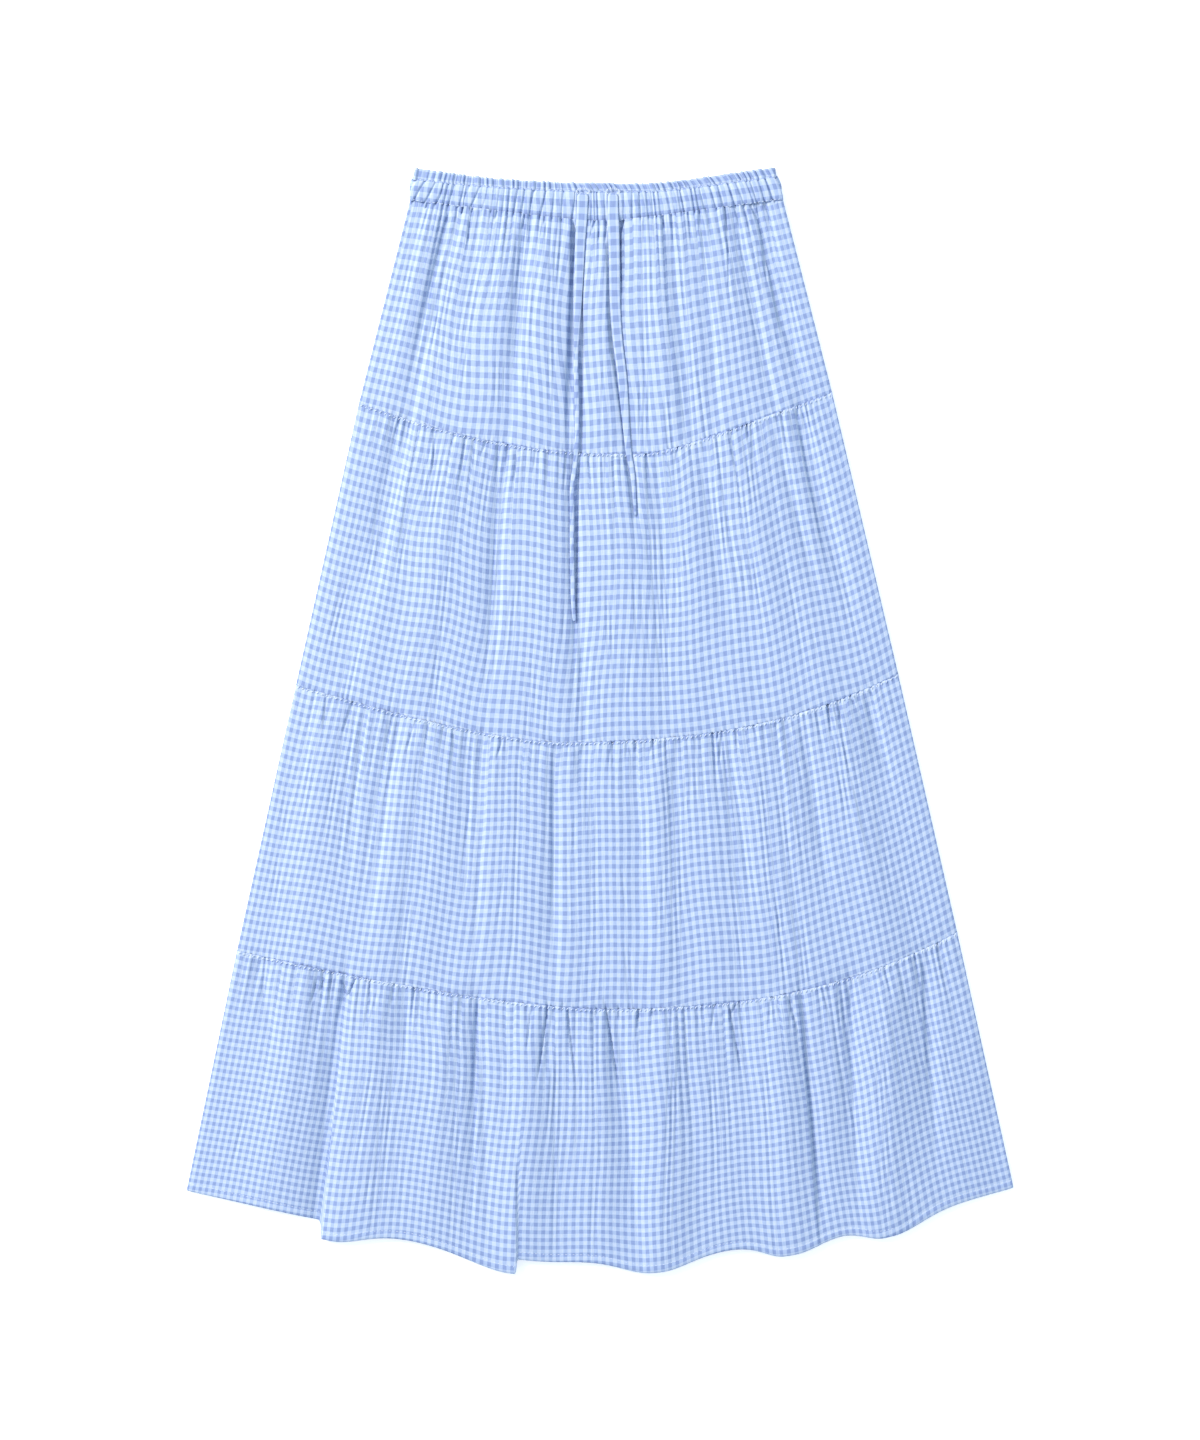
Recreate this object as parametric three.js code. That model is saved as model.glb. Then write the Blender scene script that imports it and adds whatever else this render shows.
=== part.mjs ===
// Tiered ruffle skirt, laid flat on its back with its front up.
// Millimetres. +X is to the right of the laid skirt, +Y points to its waist, and +Z is up from the
// surface that it lies on, at z = 0.

import * as THREE from 'three';

// Cloth, and how it lies
const CLOTH = 1.1; // one layer, with its crinkle
const CASING_CLOTH = 2.4; // the casing's two layers round their elastic
const FRILL_CLOTH = 1.4; // the frill's two layers above the casing
const SEAM_GAP = 0.3; // between pieces that are sewn edge to edge
const LAY_GAP = 0.3; // between pieces that lie on each other
const LOFT = 5.6; // how far the front puffs up inside its side edges
const EDGE_ROLL = 16; // width over which it rolls down to them
const SEAM_PINCH = 1.0; // how far a tier is drawn down at a seam
const PINCH_REACH = 9; // and how far from the seam that reaches

// Waist
const CASING_DOME = 0.9; // rise of the front casing between its ends
const GATHER_HEIGHT = 0.9; // of one gather of the casing
const FRILL_WAVE = 0.9; // of one wave of the frill
const FRILL_SCALLOP = 0.9; // how far a wave lifts the frill's top edge
const FRILL_LEAN = 3; // how far the frill's waves slant over its height
const CASING_EDGE_PUFF = 0.15; // where in its swell the casing starts and ends, as a share of it
const GATHER_DRIFT = 0.22; // unevenness of the gathers, as a share of one
const DRIFT_TURN = 2.4; // radians by which the drift, and the slant, turn from one gather to the next
const LEAN_TURN = 0.7;

// Drawstring ties: flat strips of the skirt's own cloth
const TIE_WIDTH = 8;
const TIE_THICKNESS = 1.6;
const TIE_SIDES = 8;
const TIE_STEPS = { tie_left: 34, tie_right: 26 };

// How finely the walls are divided
const FRONT_COLUMNS = 60;
const BACK_COLUMNS = 36;
const FRONT_ROWS = [0, 0.06, 0.22, 0.42, 0.62, 0.82, 1];
const BACK_ROWS = [0, 0.12, 0.5, 1];
const FRONT_GATHERS = 44;
const BACK_GATHERS = 32;
const COLUMNS_PER_GATHER = 3;
const CASING_ROWS = [0, 0.5, 1];
const FRILL_ROWS = [0, 1];

// Rows of a table as objects with the table's column names
function table(columns, rows) {
  return rows.map((row) => Object.fromEntries(columns.map((column, i) => [column, row[i]])));
}

// Ruffle waves that carry the hem lower: the place of each, its dip, and its width on each side
const HEM_WAVES = table(['x', 'dip', 'left', 'right'], [
  [-230, 15.6, 6, 38],
  [-77, 12.8, 46, 6],
  [47, 12.9, 34, 35],
  [161, 13.1, 25, 35],
  [246, 14.1, 27, 33],
]);

// Lines across the skirt from the waist to the hem: the ends, the sag between them, the share of the
// width where the line is lowest, and how it bends down to there from the left and from the right
const LINES = Object.fromEntries(table(
  ['name', 'leftX', 'leftY', 'rightX', 'rightY', 'sag', 'lowest', 'leftBend', 'rightBend', 'waves'],
  [
    ['frillTop', -156.4, 469.3, 148.8, 469.3, 13.3, 0.65, 2.7, 1.05, []],
    ['casingTop', -159, 459.8, 149.6, 462, 11.9, 0.65, 2.3, 1.1, []],
    ['casingBottom', -161.5, 441.2, 155.5, 442, 18.5, 0.51, 1.05, 1.05, []],
    ['seam1', -204.8, 269.4, 197.2, 278, 49.5, 0.59, 2, 1.1, []],
    ['seam2', -258.4, 29.8, 253.3, 39.1, 53.9, 0.46, 1.4, 2.6, []],
    ['seam3', -308.6, -196.4, 303.4, -180.2, 58.4, 0.54, 1.4, 2.6, []],
    ['hemFront', -351.3, -399.5, 351.3, -397, 61.7, 0.45, 1.05, 1.8, HEM_WAVES],
    ['hemBack', -351.3, -399.5, 351.3, -397, 61.7, 0.45, 1.05, 1.8, []],
  ],
).map((line) => [line.name, line]));
const BEND_SOFTNESS = 0.02; // rounds the lowest point of a line

// Long soft folds of the front: where each starts and runs out, its half width, and how far it
// stands up from the cloth, or sinks into it where that is negative
const FRONT_FOLDS = table(['x', 'y', 'endX', 'endY', 'width', 'height'], [
  [-149, 434, -184, 276, 12, 1.6],
  [-126, 429, -166, 272, 10, -2.9],
  [-109, 429, -115, 344, 8, -1.6],
  [-87, 418, -105, 259, 12, 1.7],
  [-64, 427, -82, 246, 9, -3.1],
  [-55, 408, -55, 268, 13, 2.0],
  [-23, 429, -21, 221, 11, -3.9],
  [-3, 408, -1, 238, 11, 2.1],
  [6, 361, 31, 162, 8, -2.6],
  [19, 434, 17, 327, 8, -3.1],
  [38, 418, 48, 246, 12, 1.6],
  [53, 421, 72, 246, 8, -1.7],
  [85, 429, 94, 246, 8, -1.8],
  [108, 429, 140, 272, 9, -2.3],
  [121, 432, 150, 276, 11, 1.7],
  [133, 438, 163, 293, 10, -3.4],
  [-170, 255, -196, 123, 10, -2.7],
  [-128, 238, -150, 60, 14, 1.7],
  [-85, 230, -94, 60, 9, -2.5],
  [-51, 219, -55, 47, 12, 1.7],
  [-28, 219, -20, -4, 9, -3.6],
  [7, 212, 12, 8, 17, 1.8],
  [42, 221, 57, 110, 8, -1.4],
  [68, 225, 85, 60, 12, 1.4],
  [81, 228, 106, 68, 9, -1.7],
  [106, 230, 138, 94, 14, 2.1],
  [142, 246, 174, 123, 9, -2.5],
  [163, 262, 200, 115, 10, -3.2],
  [-240, 13, -262, -178, 13, 1.7],
  [-208, 7, -221, -128, 10, -2.5],
  [-177, 2, -202, -157, 10, -2.6],
  [-163, -4, -196, -221, 14, 2.2],
  [-106, -15, -113, -204, 10, -2.5],
  [-89, -21, -94, -200, 13, 2.0],
  [-42, -26, -40, -208, 10, -3.6],
  [-20, -26, -17, -60, 8, -1.7],
  [23, -24, 31, -178, 9, -1.6],
  [44, -26, 47, -225, 14, 2.0],
  [60, -21, 61, -98, 8, -1.7],
  [102, -15, 119, -144, 9, -2.2],
  [123, -13, 149, -208, 14, 2.1],
  [166, -2, 183, -128, 10, -2.7],
  [200, 8, 230, -200, 14, 2.2],
  [221, 17, 238, -47, 9, -2.1],
  [-296, -202, -285, -272, 10, -2.1],
  [-268, -211, -287, -408, 15, 1.8],
  [-242, -217, -242, -272, 9, -1.8],
  [-217, -219, -238, -404, 14, -3.9],
  [-201, -225, -218, -442, 17, 4.4],
  [-173, -228, -173, -280, 10, -2.1],
  [-136, -238, -144, -442, 15, 1.6],
  [-106, -238, -100, -418, 13, -3.9],
  [-72, -248, -82, -468, 18, 4.9],
  [-47, -246, -51, -298, 9, -2.1],
  [-27, -246, -26, -285, 8, -1.8],
  [8, -246, 27, -450, 11, -2.5],
  [44, -253, 44, -468, 20, 3.9],
  [64, -248, 72, -348, 10, -1.7],
  [110, -242, 119, -310, 10, -2.0],
  [142, -242, 159, -455, 20, 3.9],
  [167, -231, 184, -412, 13, -3.9],
  [206, -223, 212, -395, 11, -2.9],
  [235, -221, 230, -439, 16, 3.6],
  [268, -204, 276, -353, 12, -3.0],
  [319, -246, 332, -378, 9, -1.8],
]);
const FOLD_START = 0.14; // share of its length over which a fold rises
const FOLD_END = 0.35; // and over which it runs out
const FOLD_SPREAD = 0.35; // how much wider than its mean it ends
const SLOPE_STEP = 1; // over which the slope of a fold is measured

// Creases of the back, lifted off the surface: the tier, the column of the wall that each runs
// along, its height, and the shares of the tier's length where it is highest and where it ends
const BACK_CREASES = table(['tier', 'column', 'height', 'peak', 'end'], [
  [1, 4, 1.1, 0.12, 0.9],
  [1, 8, 0.7, 0, 0.5],
  [1, 13, 1.3, 0.12, 1.3],
  [1, 20, 0.8, 0, 0.7],
  [1, 24, 1.2, 0.12, 1.0],
  [1, 31, 1.0, 0.12, 0.9],
  [2, 5, 0.9, 0.12, 0.8],
  [2, 11, 1.2, 0.12, 1.2],
  [2, 15, 0.8, 0, 0.5],
  [2, 21, 1.0, 0.12, 0.9],
  [2, 27, 1.2, 0.12, 1.1],
  [2, 32, 0.8, 0, 0.6],
  [3, 4, 1.0, 0.12, 0.8],
  [3, 9, 1.2, 0.12, 1.1],
  [3, 14, 0.8, 0, 0.6],
  [3, 23, 1.1, 0.12, 0.9],
  [3, 26, 0.7, 0, 0.5],
  [3, 31, 1.2, 0.12, 1.2],
  [4, 3, 0.9, 0.12, 0.8],
  [4, 8, 1.3, 0.5, 1.6],
  [4, 12, 0.9, 0, 0.7],
  [4, 16, 1.2, 0.12, 1.2],
  [4, 22, 0.8, 0, 0.5],
  [4, 25, 1.3, 0.5, 1.6],
  [4, 30, 1.0, 0.12, 0.9],
  [4, 33, 0.7, 0, 0.6],
]);

// Routes of the two free ends of the drawstring, from the top of the casing to their cut ends
const TIE_ROUTES = {
  tie_left: [
    [-14.4, 448.4, 7.1],
    [-14.9, 438.6, 7.3],
    [-15.3, 429.2, 7.7],
    [-16.1, 416.5, 8.0],
    [-17.0, 402.9, 7.9],
    [-17.8, 378.2, 7.6],
    [-18.7, 352.8, 7.1],
    [-19.6, 330.6, 6.7],
    [-20.4, 307.7, 6.4],
    [-20.0, 284.8, 6.4],
    [-19.6, 261.8, 6.6],
    [-19.6, 238.0, 6.6],
    [-20.4, 225.2, 6.8],
    [-22.1, 210.8, 7.0],
    [-23.8, 195.5, 6.9],
    [-23.8, 170.0, 6.8],
    [-23.8, 144.5, 6.6],
    [-23.4, 123.2, 6.6],
    [-22.9, 102.0, 6.5],
    [-21.7, 82.5, 6.6],
  ],
  tie_right: [
    [11.0, 448.4, 7.2],
    [11.0, 439.4, 7.6],
    [11.0, 429.2, 8.3],
    [11.5, 416.5, 8.8],
    [11.9, 402.9, 8.8],
    [12.3, 378.2, 8.8],
    [12.8, 352.8, 7.9],
    [14.9, 323.0, 7.5],
    [18.7, 292.4, 8.3],
    [21.2, 261.8, 8.2],
    [23.8, 232.0, 7.5],
    [24.6, 225.2, 7.2],
    [28.1, 204.0, 7.6],
    [30.2, 172.5, 8.4],
  ],
};

const COLORS = { tier: 0xb7cef3, casing: 0xaac5f0, frill: 0xc3d7f6, tie: 0xa6c2ef };

const lerp = THREE.MathUtils.lerp;
const smoothstep = THREE.MathUtils.smoothstep;

// The point of a line at share u of its width
function crossPoint(line, u) {
  const onLeft = u < line.lowest;
  const away = onLeft ? (line.lowest - u) / line.lowest : (u - line.lowest) / (1 - line.lowest);
  const power = (onLeft ? line.leftBend : line.rightBend) / 2;
  const bottom = BEND_SOFTNESS ** power;
  const rise = ((away ** 2 + BEND_SOFTNESS) ** power - bottom) / ((1 + BEND_SOFTNESS) ** power - bottom);
  const x = lerp(line.leftX, line.rightX, u);
  let y = lerp(line.leftY, line.rightY, u) - line.sag * (1 - rise);
  for (const wave of line.waves) {
    const reach = x < wave.x ? wave.left : wave.right;
    y -= wave.dip * Math.exp(-(((x - wave.x) / reach) ** 2));
  }
  return { x, y };
}

// The place of a wall's point between two lines, just inside its seams
function placeBetween(upper, lower, u, v) {
  const top = crossPoint(upper, u);
  const bottom = crossPoint(lower, u);
  const topY = top.y - SEAM_GAP / 2;
  const bottomY = bottom.y + SEAM_GAP / 2;
  const width = lerp(upper.rightX - upper.leftX, lower.rightX - lower.leftX, v);
  return {
    x: lerp(top.x, bottom.x, v),
    y: lerp(topY, bottomY, v),
    edge: Math.min(u, 1 - u) * width,
    seam: Math.min(v, 1 - v) * (topY - bottomY),
  };
}

// How far the folds lift the front at a point
function foldHeight(x, y) {
  let height = 0;
  for (const fold of FRONT_FOLDS) {
    const along = (fold.y - y) / (fold.y - fold.endY);
    const risen = smoothstep(along, -FOLD_START, FOLD_START);
    const shown = risen * (1 - smoothstep(along, 1 - FOLD_END, 1 + FOLD_END));
    if (shown > 0) {
      const middle = lerp(fold.x, fold.endX, along);
      const width = fold.width * (1 + FOLD_SPREAD * (along - 0.5));
      height += fold.height * shown * Math.exp(-(((x - middle) / width) ** 2));
    }
  }
  return height;
}

// The outer side of the front, over the back that it lies on
function frontHeight(place) {
  const rolled = smoothstep(place.edge, 0, EDGE_ROLL);
  const pinch = SEAM_PINCH * Math.exp(-((place.seam / PINCH_REACH) ** 2));
  return 2 * CLOTH + LAY_GAP + rolled * (LOFT + foldHeight(place.x, place.y) - pinch);
}

// A closed wall from two surfaces over the same grid of points. Shares run across (u) and down (v).
function wall(across, down, pointAt) {
  const outer = [];
  const inner = [];
  for (const v of down) {
    for (const u of across) {
      const point = pointAt(u, v);
      outer.push(point.x, point.y, point.high);
      inner.push(point.x, point.y, point.low);
    }
  }
  const columns = across.length;
  const rows = down.length;
  const size = columns * rows;
  const at = (i, j) => j * columns + i;
  const faces = [];
  for (let j = 0; j < rows - 1; j += 1) {
    for (let i = 0; i < columns - 1; i += 1) {
      const [a, b, c, d] = [at(i, j), at(i, j + 1), at(i + 1, j + 1), at(i + 1, j)];
      faces.push(a, b, c, a, c, d);
      faces.push(a + size, c + size, b + size, a + size, d + size, c + size);
    }
  }
  const rim = [];
  for (let j = 0; j < rows - 1; j += 1) rim.push(at(0, j));
  for (let i = 0; i < columns - 1; i += 1) rim.push(at(i, rows - 1));
  for (let j = rows - 1; j > 0; j -= 1) rim.push(at(columns - 1, j));
  for (let i = columns - 1; i > 0; i -= 1) rim.push(at(i, 0));
  rim.forEach((p, k) => {
    const q = rim[(k + 1) % rim.length];
    faces.push(q, p, p + size, q, p + size, q + size);
  });
  const geometry = new THREE.BufferGeometry();
  geometry.setAttribute('position', new THREE.Float32BufferAttribute([...outer, ...inner], 3));
  geometry.setIndex(faces);
  geometry.computeVertexNormals();
  return geometry;
}

function evenShares(count) {
  return Array.from({ length: count + 1 }, (unused, i) => i / count);
}

// Shares across the waist, a few to each gather, with the gathers a little uneven in width, and how
// far the cloth is raised there, from 0 in a trough to 1 on a crest
function gatherShares(count) {
  const steps = count * COLUMNS_PER_GATHER;
  const trough = Math.cos((2 * Math.PI) / COLUMNS_PER_GATHER);
  return Array.from({ length: steps + 1 }, (unused, i) => {
    const along = i / COLUMNS_PER_GATHER;
    const drift = GATHER_DRIFT * Math.sin(along * DRIFT_TURN) * Math.sin((Math.PI * i) / steps);
    const raised = Math.max(0, (Math.cos(2 * Math.PI * along) - trough) / (1 - trough));
    return { u: (along + drift) / count, raised, along };
  });
}

// The front wall of a tier, with its folds
function tierFront(upper, lower) {
  return wall(evenShares(FRONT_COLUMNS), FRONT_ROWS, (u, v) => {
    const place = placeBetween(upper, lower, u, v);
    const high = frontHeight(place);
    const beside = { ...place, x: place.x + SLOPE_STEP };
    const slope = (frontHeight(beside) - high) / SLOPE_STEP;
    return { x: place.x, y: place.y, high, low: high - CLOTH * Math.hypot(1, slope) };
  });
}

// The back wall of a tier, flat on the surface but for its creases
function tierBack(upper, lower, tier) {
  const creases = BACK_CREASES.filter((crease) => crease.tier === tier);
  return wall(evenShares(BACK_COLUMNS), BACK_ROWS, (u, v) => {
    const place = placeBetween(upper, lower, u, v);
    const crease = creases.find((row) => row.column === Math.round(u * BACK_COLUMNS));
    const beyond = crease ? Math.abs(v - crease.peak) / (v < crease.peak ? 1 : crease.end) : 1;
    const low = crease ? crease.height * Math.max(0, 1 - beyond) : 0;
    return { x: place.x, y: place.y, high: low + CLOTH, low };
  });
}

// A wall of the waist: its gathers are worked out for each share across, then looked up
function waistWall(upper, lower, gathers, down, heights) {
  const shares = gatherShares(gathers);
  const byShare = new Map(shares.map((share) => [share.u, share]));
  return wall(shares.map((share) => share.u), down, (u, v) => {
    const place = placeBetween(upper, lower, u, v);
    return heights(place, byShare.get(u), v);
  });
}

// The front casing: a plain inside, with the gathers raised on its outer side
function casingFront() {
  return waistWall(LINES.casingTop, LINES.casingBottom, FRONT_GATHERS, CASING_ROWS, (place, gather, v) => {
    const rolled = smoothstep(place.edge, 0, EDGE_ROLL);
    const low = CASING_CLOTH + LAY_GAP + CASING_DOME * rolled;
    const puff = Math.sin(Math.PI * lerp(CASING_EDGE_PUFF, 1 - CASING_EDGE_PUFF, v));
    const high = low + CASING_CLOTH + GATHER_HEIGHT * (puff * gather.raised - 0.5);
    return { x: place.x, y: place.y, high, low };
  });
}

// The back casing: the same, with its gathers towards the surface
function casingBack() {
  return waistWall(LINES.casingTop, LINES.casingBottom, BACK_GATHERS, CASING_ROWS, (place, gather) => {
    const low = GATHER_HEIGHT * (1 - gather.raised);
    return { x: place.x, y: place.y, high: CASING_CLOTH, low };
  });
}

// The narrow frill above the casing, which waves as a whole and stands up in scallops
function frill(gathers, base) {
  return waistWall(LINES.frillTop, LINES.casingTop, gathers, FRILL_ROWS, (place, gather, v) => {
    const free = 1 - v;
    const inside = smoothstep(place.edge, 0, EDGE_ROLL);
    const lean = free * inside * FRILL_LEAN * Math.sin(gather.along * LEAN_TURN);
    const scallop = free * FRILL_SCALLOP * (gather.raised - 1);
    const low = base + FRILL_WAVE * gather.raised;
    return { x: place.x + lean, y: place.y + scallop, high: low + FRILL_CLOTH, low };
  });
}

// A route along which a flat strip keeps its face up
class LaidRoute extends THREE.CatmullRomCurve3 {
  computeFrenetFrames(segments) {
    const tangents = [];
    const normals = [];
    const binormals = [];
    for (let i = 0; i <= segments; i += 1) {
      const tangent = this.getTangentAt(i / segments);
      const up = new THREE.Vector3(0, 0, 1);
      const normal = up.addScaledVector(tangent, -up.dot(tangent)).normalize();
      tangents.push(tangent);
      normals.push(normal);
      binormals.push(new THREE.Vector3().crossVectors(tangent, normal));
    }
    return { tangents, normals, binormals };
  }
}

// One free end of the drawstring
function tie(name) {
  const section = new THREE.Shape(Array.from({ length: TIE_SIDES }, (unused, i) => {
    const angle = ((i + 0.5) * 2 * Math.PI) / TIE_SIDES;
    const flatter = Math.cos(Math.PI / TIE_SIDES);
    return new THREE.Vector2(
      (TIE_THICKNESS / 2) * Math.cos(angle) / flatter,
      (TIE_WIDTH / 2) * Math.sin(angle) / flatter,
    );
  }));
  const route = new LaidRoute(TIE_ROUTES[name].map((point) => new THREE.Vector3(...point)));
  return new THREE.ExtrudeGeometry(section, { extrudePath: route, steps: TIE_STEPS[name] });
}

function piece(name, geometry, color) {
  const material = new THREE.MeshStandardMaterial({ color, roughness: 0.9, metalness: 0 });
  const mesh = new THREE.Mesh(geometry, material);
  mesh.name = name;
  return mesh;
}

const skirt = new THREE.Group();

const seams = [LINES.casingBottom, LINES.seam1, LINES.seam2, LINES.seam3];
seams.forEach((upper, i) => {
  const tier = i + 1;
  const front = tierFront(upper, seams[tier] ?? LINES.hemFront);
  const back = tierBack(upper, seams[tier] ?? LINES.hemBack, tier);
  skirt.add(piece(`tier_${tier}_front`, front, COLORS.tier));
  skirt.add(piece(`tier_${tier}_back`, back, COLORS.tier));
});

skirt.add(piece('casing_front', casingFront(), COLORS.casing));
skirt.add(piece('casing_back', casingBack(), COLORS.casing));
skirt.add(piece('frill_front', frill(FRONT_GATHERS, CASING_CLOTH + LAY_GAP), COLORS.frill));
skirt.add(piece('frill_back', frill(BACK_GATHERS, 0), COLORS.frill));

for (const name of Object.keys(TIE_ROUTES)) {
  skirt.add(piece(name, tie(name), COLORS.tie));
}

export default skirt;
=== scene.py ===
import math

import bmesh
import bpy
import numpy as np
from mathutils import Matrix, Vector


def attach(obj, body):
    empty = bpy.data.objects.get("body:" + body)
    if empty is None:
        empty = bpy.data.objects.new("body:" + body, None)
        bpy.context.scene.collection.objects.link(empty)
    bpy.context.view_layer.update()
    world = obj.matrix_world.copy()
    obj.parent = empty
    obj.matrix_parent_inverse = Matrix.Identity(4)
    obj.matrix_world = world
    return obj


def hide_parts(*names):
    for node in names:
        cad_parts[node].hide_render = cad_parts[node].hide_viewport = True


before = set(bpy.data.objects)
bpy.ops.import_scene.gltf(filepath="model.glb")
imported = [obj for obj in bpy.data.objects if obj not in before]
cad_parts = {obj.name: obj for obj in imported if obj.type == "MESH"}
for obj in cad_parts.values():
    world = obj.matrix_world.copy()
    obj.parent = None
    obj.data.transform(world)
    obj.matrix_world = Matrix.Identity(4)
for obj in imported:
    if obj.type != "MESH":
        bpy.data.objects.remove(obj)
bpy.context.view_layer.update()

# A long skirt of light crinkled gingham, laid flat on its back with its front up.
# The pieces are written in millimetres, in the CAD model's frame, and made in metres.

MM = 0.001


# Camera
# Straight above the skirt, looking down, with the waist at the top of the picture. The picture's
# long side takes in 1224 mm of the surface that the skirt lies on.

VIEW_HEIGHT = 1224
LENS = 120
SENSOR = 36

camera_data = bpy.data.cameras.new("camera")
camera_data.lens = LENS
camera_data.sensor_width = SENSOR
camera = bpy.data.objects.new("camera", camera_data)
camera.location = (0, 0, VIEW_HEIGHT * LENS / SENSOR * MM)
bpy.context.scene.collection.objects.link(camera)
bpy.context.scene.camera = camera


# Drawstring ties
# The two free ends of a flat string of the skirt's own gingham, sewn along one edge and turned out.
# They hang out of the casing over the front. Higher up they lie flat, and lower down they have
# rolled up into a thin twisted cord. Each ends bare.

TIE_ROUTES = {
    "tie_left": [
        (-14.4, 448.4, 7.1), (-14.9, 438.6, 7.3), (-15.3, 429.2, 7.7), (-16.1, 416.5, 8.0),
        (-17.0, 402.9, 7.9), (-17.8, 378.2, 7.6), (-18.7, 352.8, 7.1), (-19.6, 330.6, 6.7),
        (-20.4, 307.7, 6.4), (-20.0, 284.8, 6.4), (-19.6, 261.8, 6.6), (-19.6, 238.0, 6.6),
        (-20.4, 225.2, 6.8), (-22.1, 210.8, 7.0), (-23.8, 195.5, 6.9), (-23.8, 170.0, 6.8),
        (-23.8, 144.5, 6.6), (-23.4, 123.2, 6.6), (-22.9, 102.0, 6.5), (-21.7, 82.5, 6.6),
    ],
    "tie_right": [
        (11.0, 448.4, 7.2), (11.0, 439.4, 7.6), (11.0, 429.2, 8.3), (11.5, 416.5, 8.8),
        (11.9, 402.9, 8.8), (12.3, 378.2, 8.8), (12.8, 352.8, 7.9), (14.9, 323.0, 7.5),
        (18.7, 292.4, 8.3), (21.2, 261.8, 8.2), (23.8, 232.0, 7.5), (24.6, 225.2, 7.2),
        (28.1, 204.0, 7.6), (30.2, 172.5, 8.4),
    ],
}
# Along each tie: the share of its length, its half width, half thickness, and turns of its checks
TIE_FORMS = {
    "tie_left": [(0, 4.8, 0.45, 0), (0.1, 4.4, 0.45, 0), (0.2, 3.7, 0.5, 0), (0.27, 3.0, 0.65, 0.1),
                 (0.36, 2.0, 0.9, 0.4), (0.95, 1.8, 0.9, 5), (1, 1.5, 0.8, 5.2)],
    "tie_right": [(0, 4.2, 0.45, 0), (0.1, 4.8, 0.45, 0), (0.4, 4.3, 0.5, 0), (0.6, 3.8, 0.6, 0.1),
                  (0.75, 2.8, 0.85, 0.8), (0.85, 2.2, 0.9, 1.6), (1, 1.1, 0.7, 2.4)],
}
TIE_SIDES = 16
TIE_STEP = 2.2
TIE_CHECK = 10.8
TIE_STARTS = {"tie_left": 0.55, "tie_right": 0.56}
TIE_SQUARENESS = 0.7
TIE_END_ROUND = 0.8
SPLINE_STEPS = 12
MERGE_DISTANCE = 0.01


def spline(points):
    """A smooth curve through the points, a few steps to each of their gaps."""
    points = np.array(points, float)
    first = 2 * points[0] - points[1]
    last = 2 * points[-1] - points[-2]
    points = np.vstack([first, points, last])
    curve = []
    for a, b, c, d in zip(points, points[1:], points[2:], points[3:]):
        for step in range(SPLINE_STEPS):
            t = step / SPLINE_STEPS
            curve.append(0.5 * (2 * b + (c - a) * t + (2 * a - 5 * b + 4 * c - d) * t ** 2
                                + (3 * b - 3 * c + d - a) * t ** 3))
    curve.append(points[-2])
    return np.array(curve)


def even_points(curve, step):
    """Points at even distances along a curve, and the curve's length."""
    along = np.concatenate([[0], np.cumsum(np.linalg.norm(np.diff(curve, axis=0), axis=1))])
    wanted = np.linspace(0, along[-1], round(along[-1] / step) + 1)
    return np.stack([np.interp(wanted, along, column) for column in curve.T], axis=1), along[-1]


def grid_mesh(name, x, y, z, across, down, facing_up=True):
    """A mesh over a grid of points in mm, with its UVs counted in checks of the cloth."""
    rows, columns = x.shape
    shape = bmesh.new()
    bmesh.ops.create_grid(shape, x_segments=columns - 1, y_segments=rows - 1, size=1)
    if not facing_up:
        bmesh.ops.reverse_faces(shape, faces=shape.faces)
    mesh = bpy.data.meshes.new(name)
    shape.to_mesh(mesh)
    shape.free()
    flat = np.empty(rows * columns * 3, np.float32)
    mesh.vertices.foreach_get("co", flat)
    flat = flat.reshape(-1, 3)
    i = np.rint((flat[:, 0] + 1) / 2 * (columns - 1)).astype(int)
    j = np.rint((1 - flat[:, 1]) / 2 * (rows - 1)).astype(int)
    points = np.stack([x[j, i], y[j, i], z[j, i]], axis=1) * MM
    mesh.vertices.foreach_set("co", points.astype(np.float32).ravel())
    corner = np.empty(len(mesh.loops), np.int32)
    mesh.loops.foreach_get("vertex_index", corner)
    checks = np.stack([across[j, i], down[j, i]], axis=1)[corner]
    layer = mesh.uv_layers.new(name="checks")
    layer.uv.foreach_set("vector", checks.astype(np.float32).ravel())
    mesh.shade_smooth()
    mesh.update()
    return mesh


def close_mesh(mesh):
    """Closes the seams and poles of a mesh and points its faces outwards."""
    shape = bmesh.new()
    shape.from_mesh(mesh)
    bmesh.ops.remove_doubles(shape, verts=shape.verts, dist=MERGE_DISTANCE * MM)
    bmesh.ops.recalc_face_normals(shape, faces=shape.faces)
    shape.to_mesh(mesh)
    shape.free()


def add_piece(name, mesh, material, node):
    """A finished piece of the skirt, in place of its plain CAD node if it has one."""
    piece = bpy.data.objects.new(name, mesh)
    bpy.context.scene.collection.objects.link(piece)
    mesh.materials.append(material)
    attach(piece, "root")
    if node:
        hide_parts(node)
    return piece


# Gingham: a light cotton in even checks, with white, mid blue where one coloured stripe runs, and
# deep blue where two cross. The crinkle of its yarns shows as fine upright streaks.
WHITE_CHECK = (0.478, 0.570, 0.745)
MID_CHECK = (0.352, 0.456, 0.675)
DEEP_CHECK = (0.223, 0.302, 0.54)
CHECK_EDGE = 0.08
CHECK_WAVER = 0.07
YARN_TONE = 0.08
YARN_NOISE = (0.6, 1.4)
CRINKLE_DEPTH = 0.35
CRINKLE_STRENGTH = 0.6
CLOTH_ROUGHNESS = 0.88
CLOTH_SHEEN = 0.08
SHEEN_ROUGHNESS = 0.5
SHEEN_TINT = (0.55, 0.72, 1)
CLOTH_GLOSS = 0.2
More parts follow.
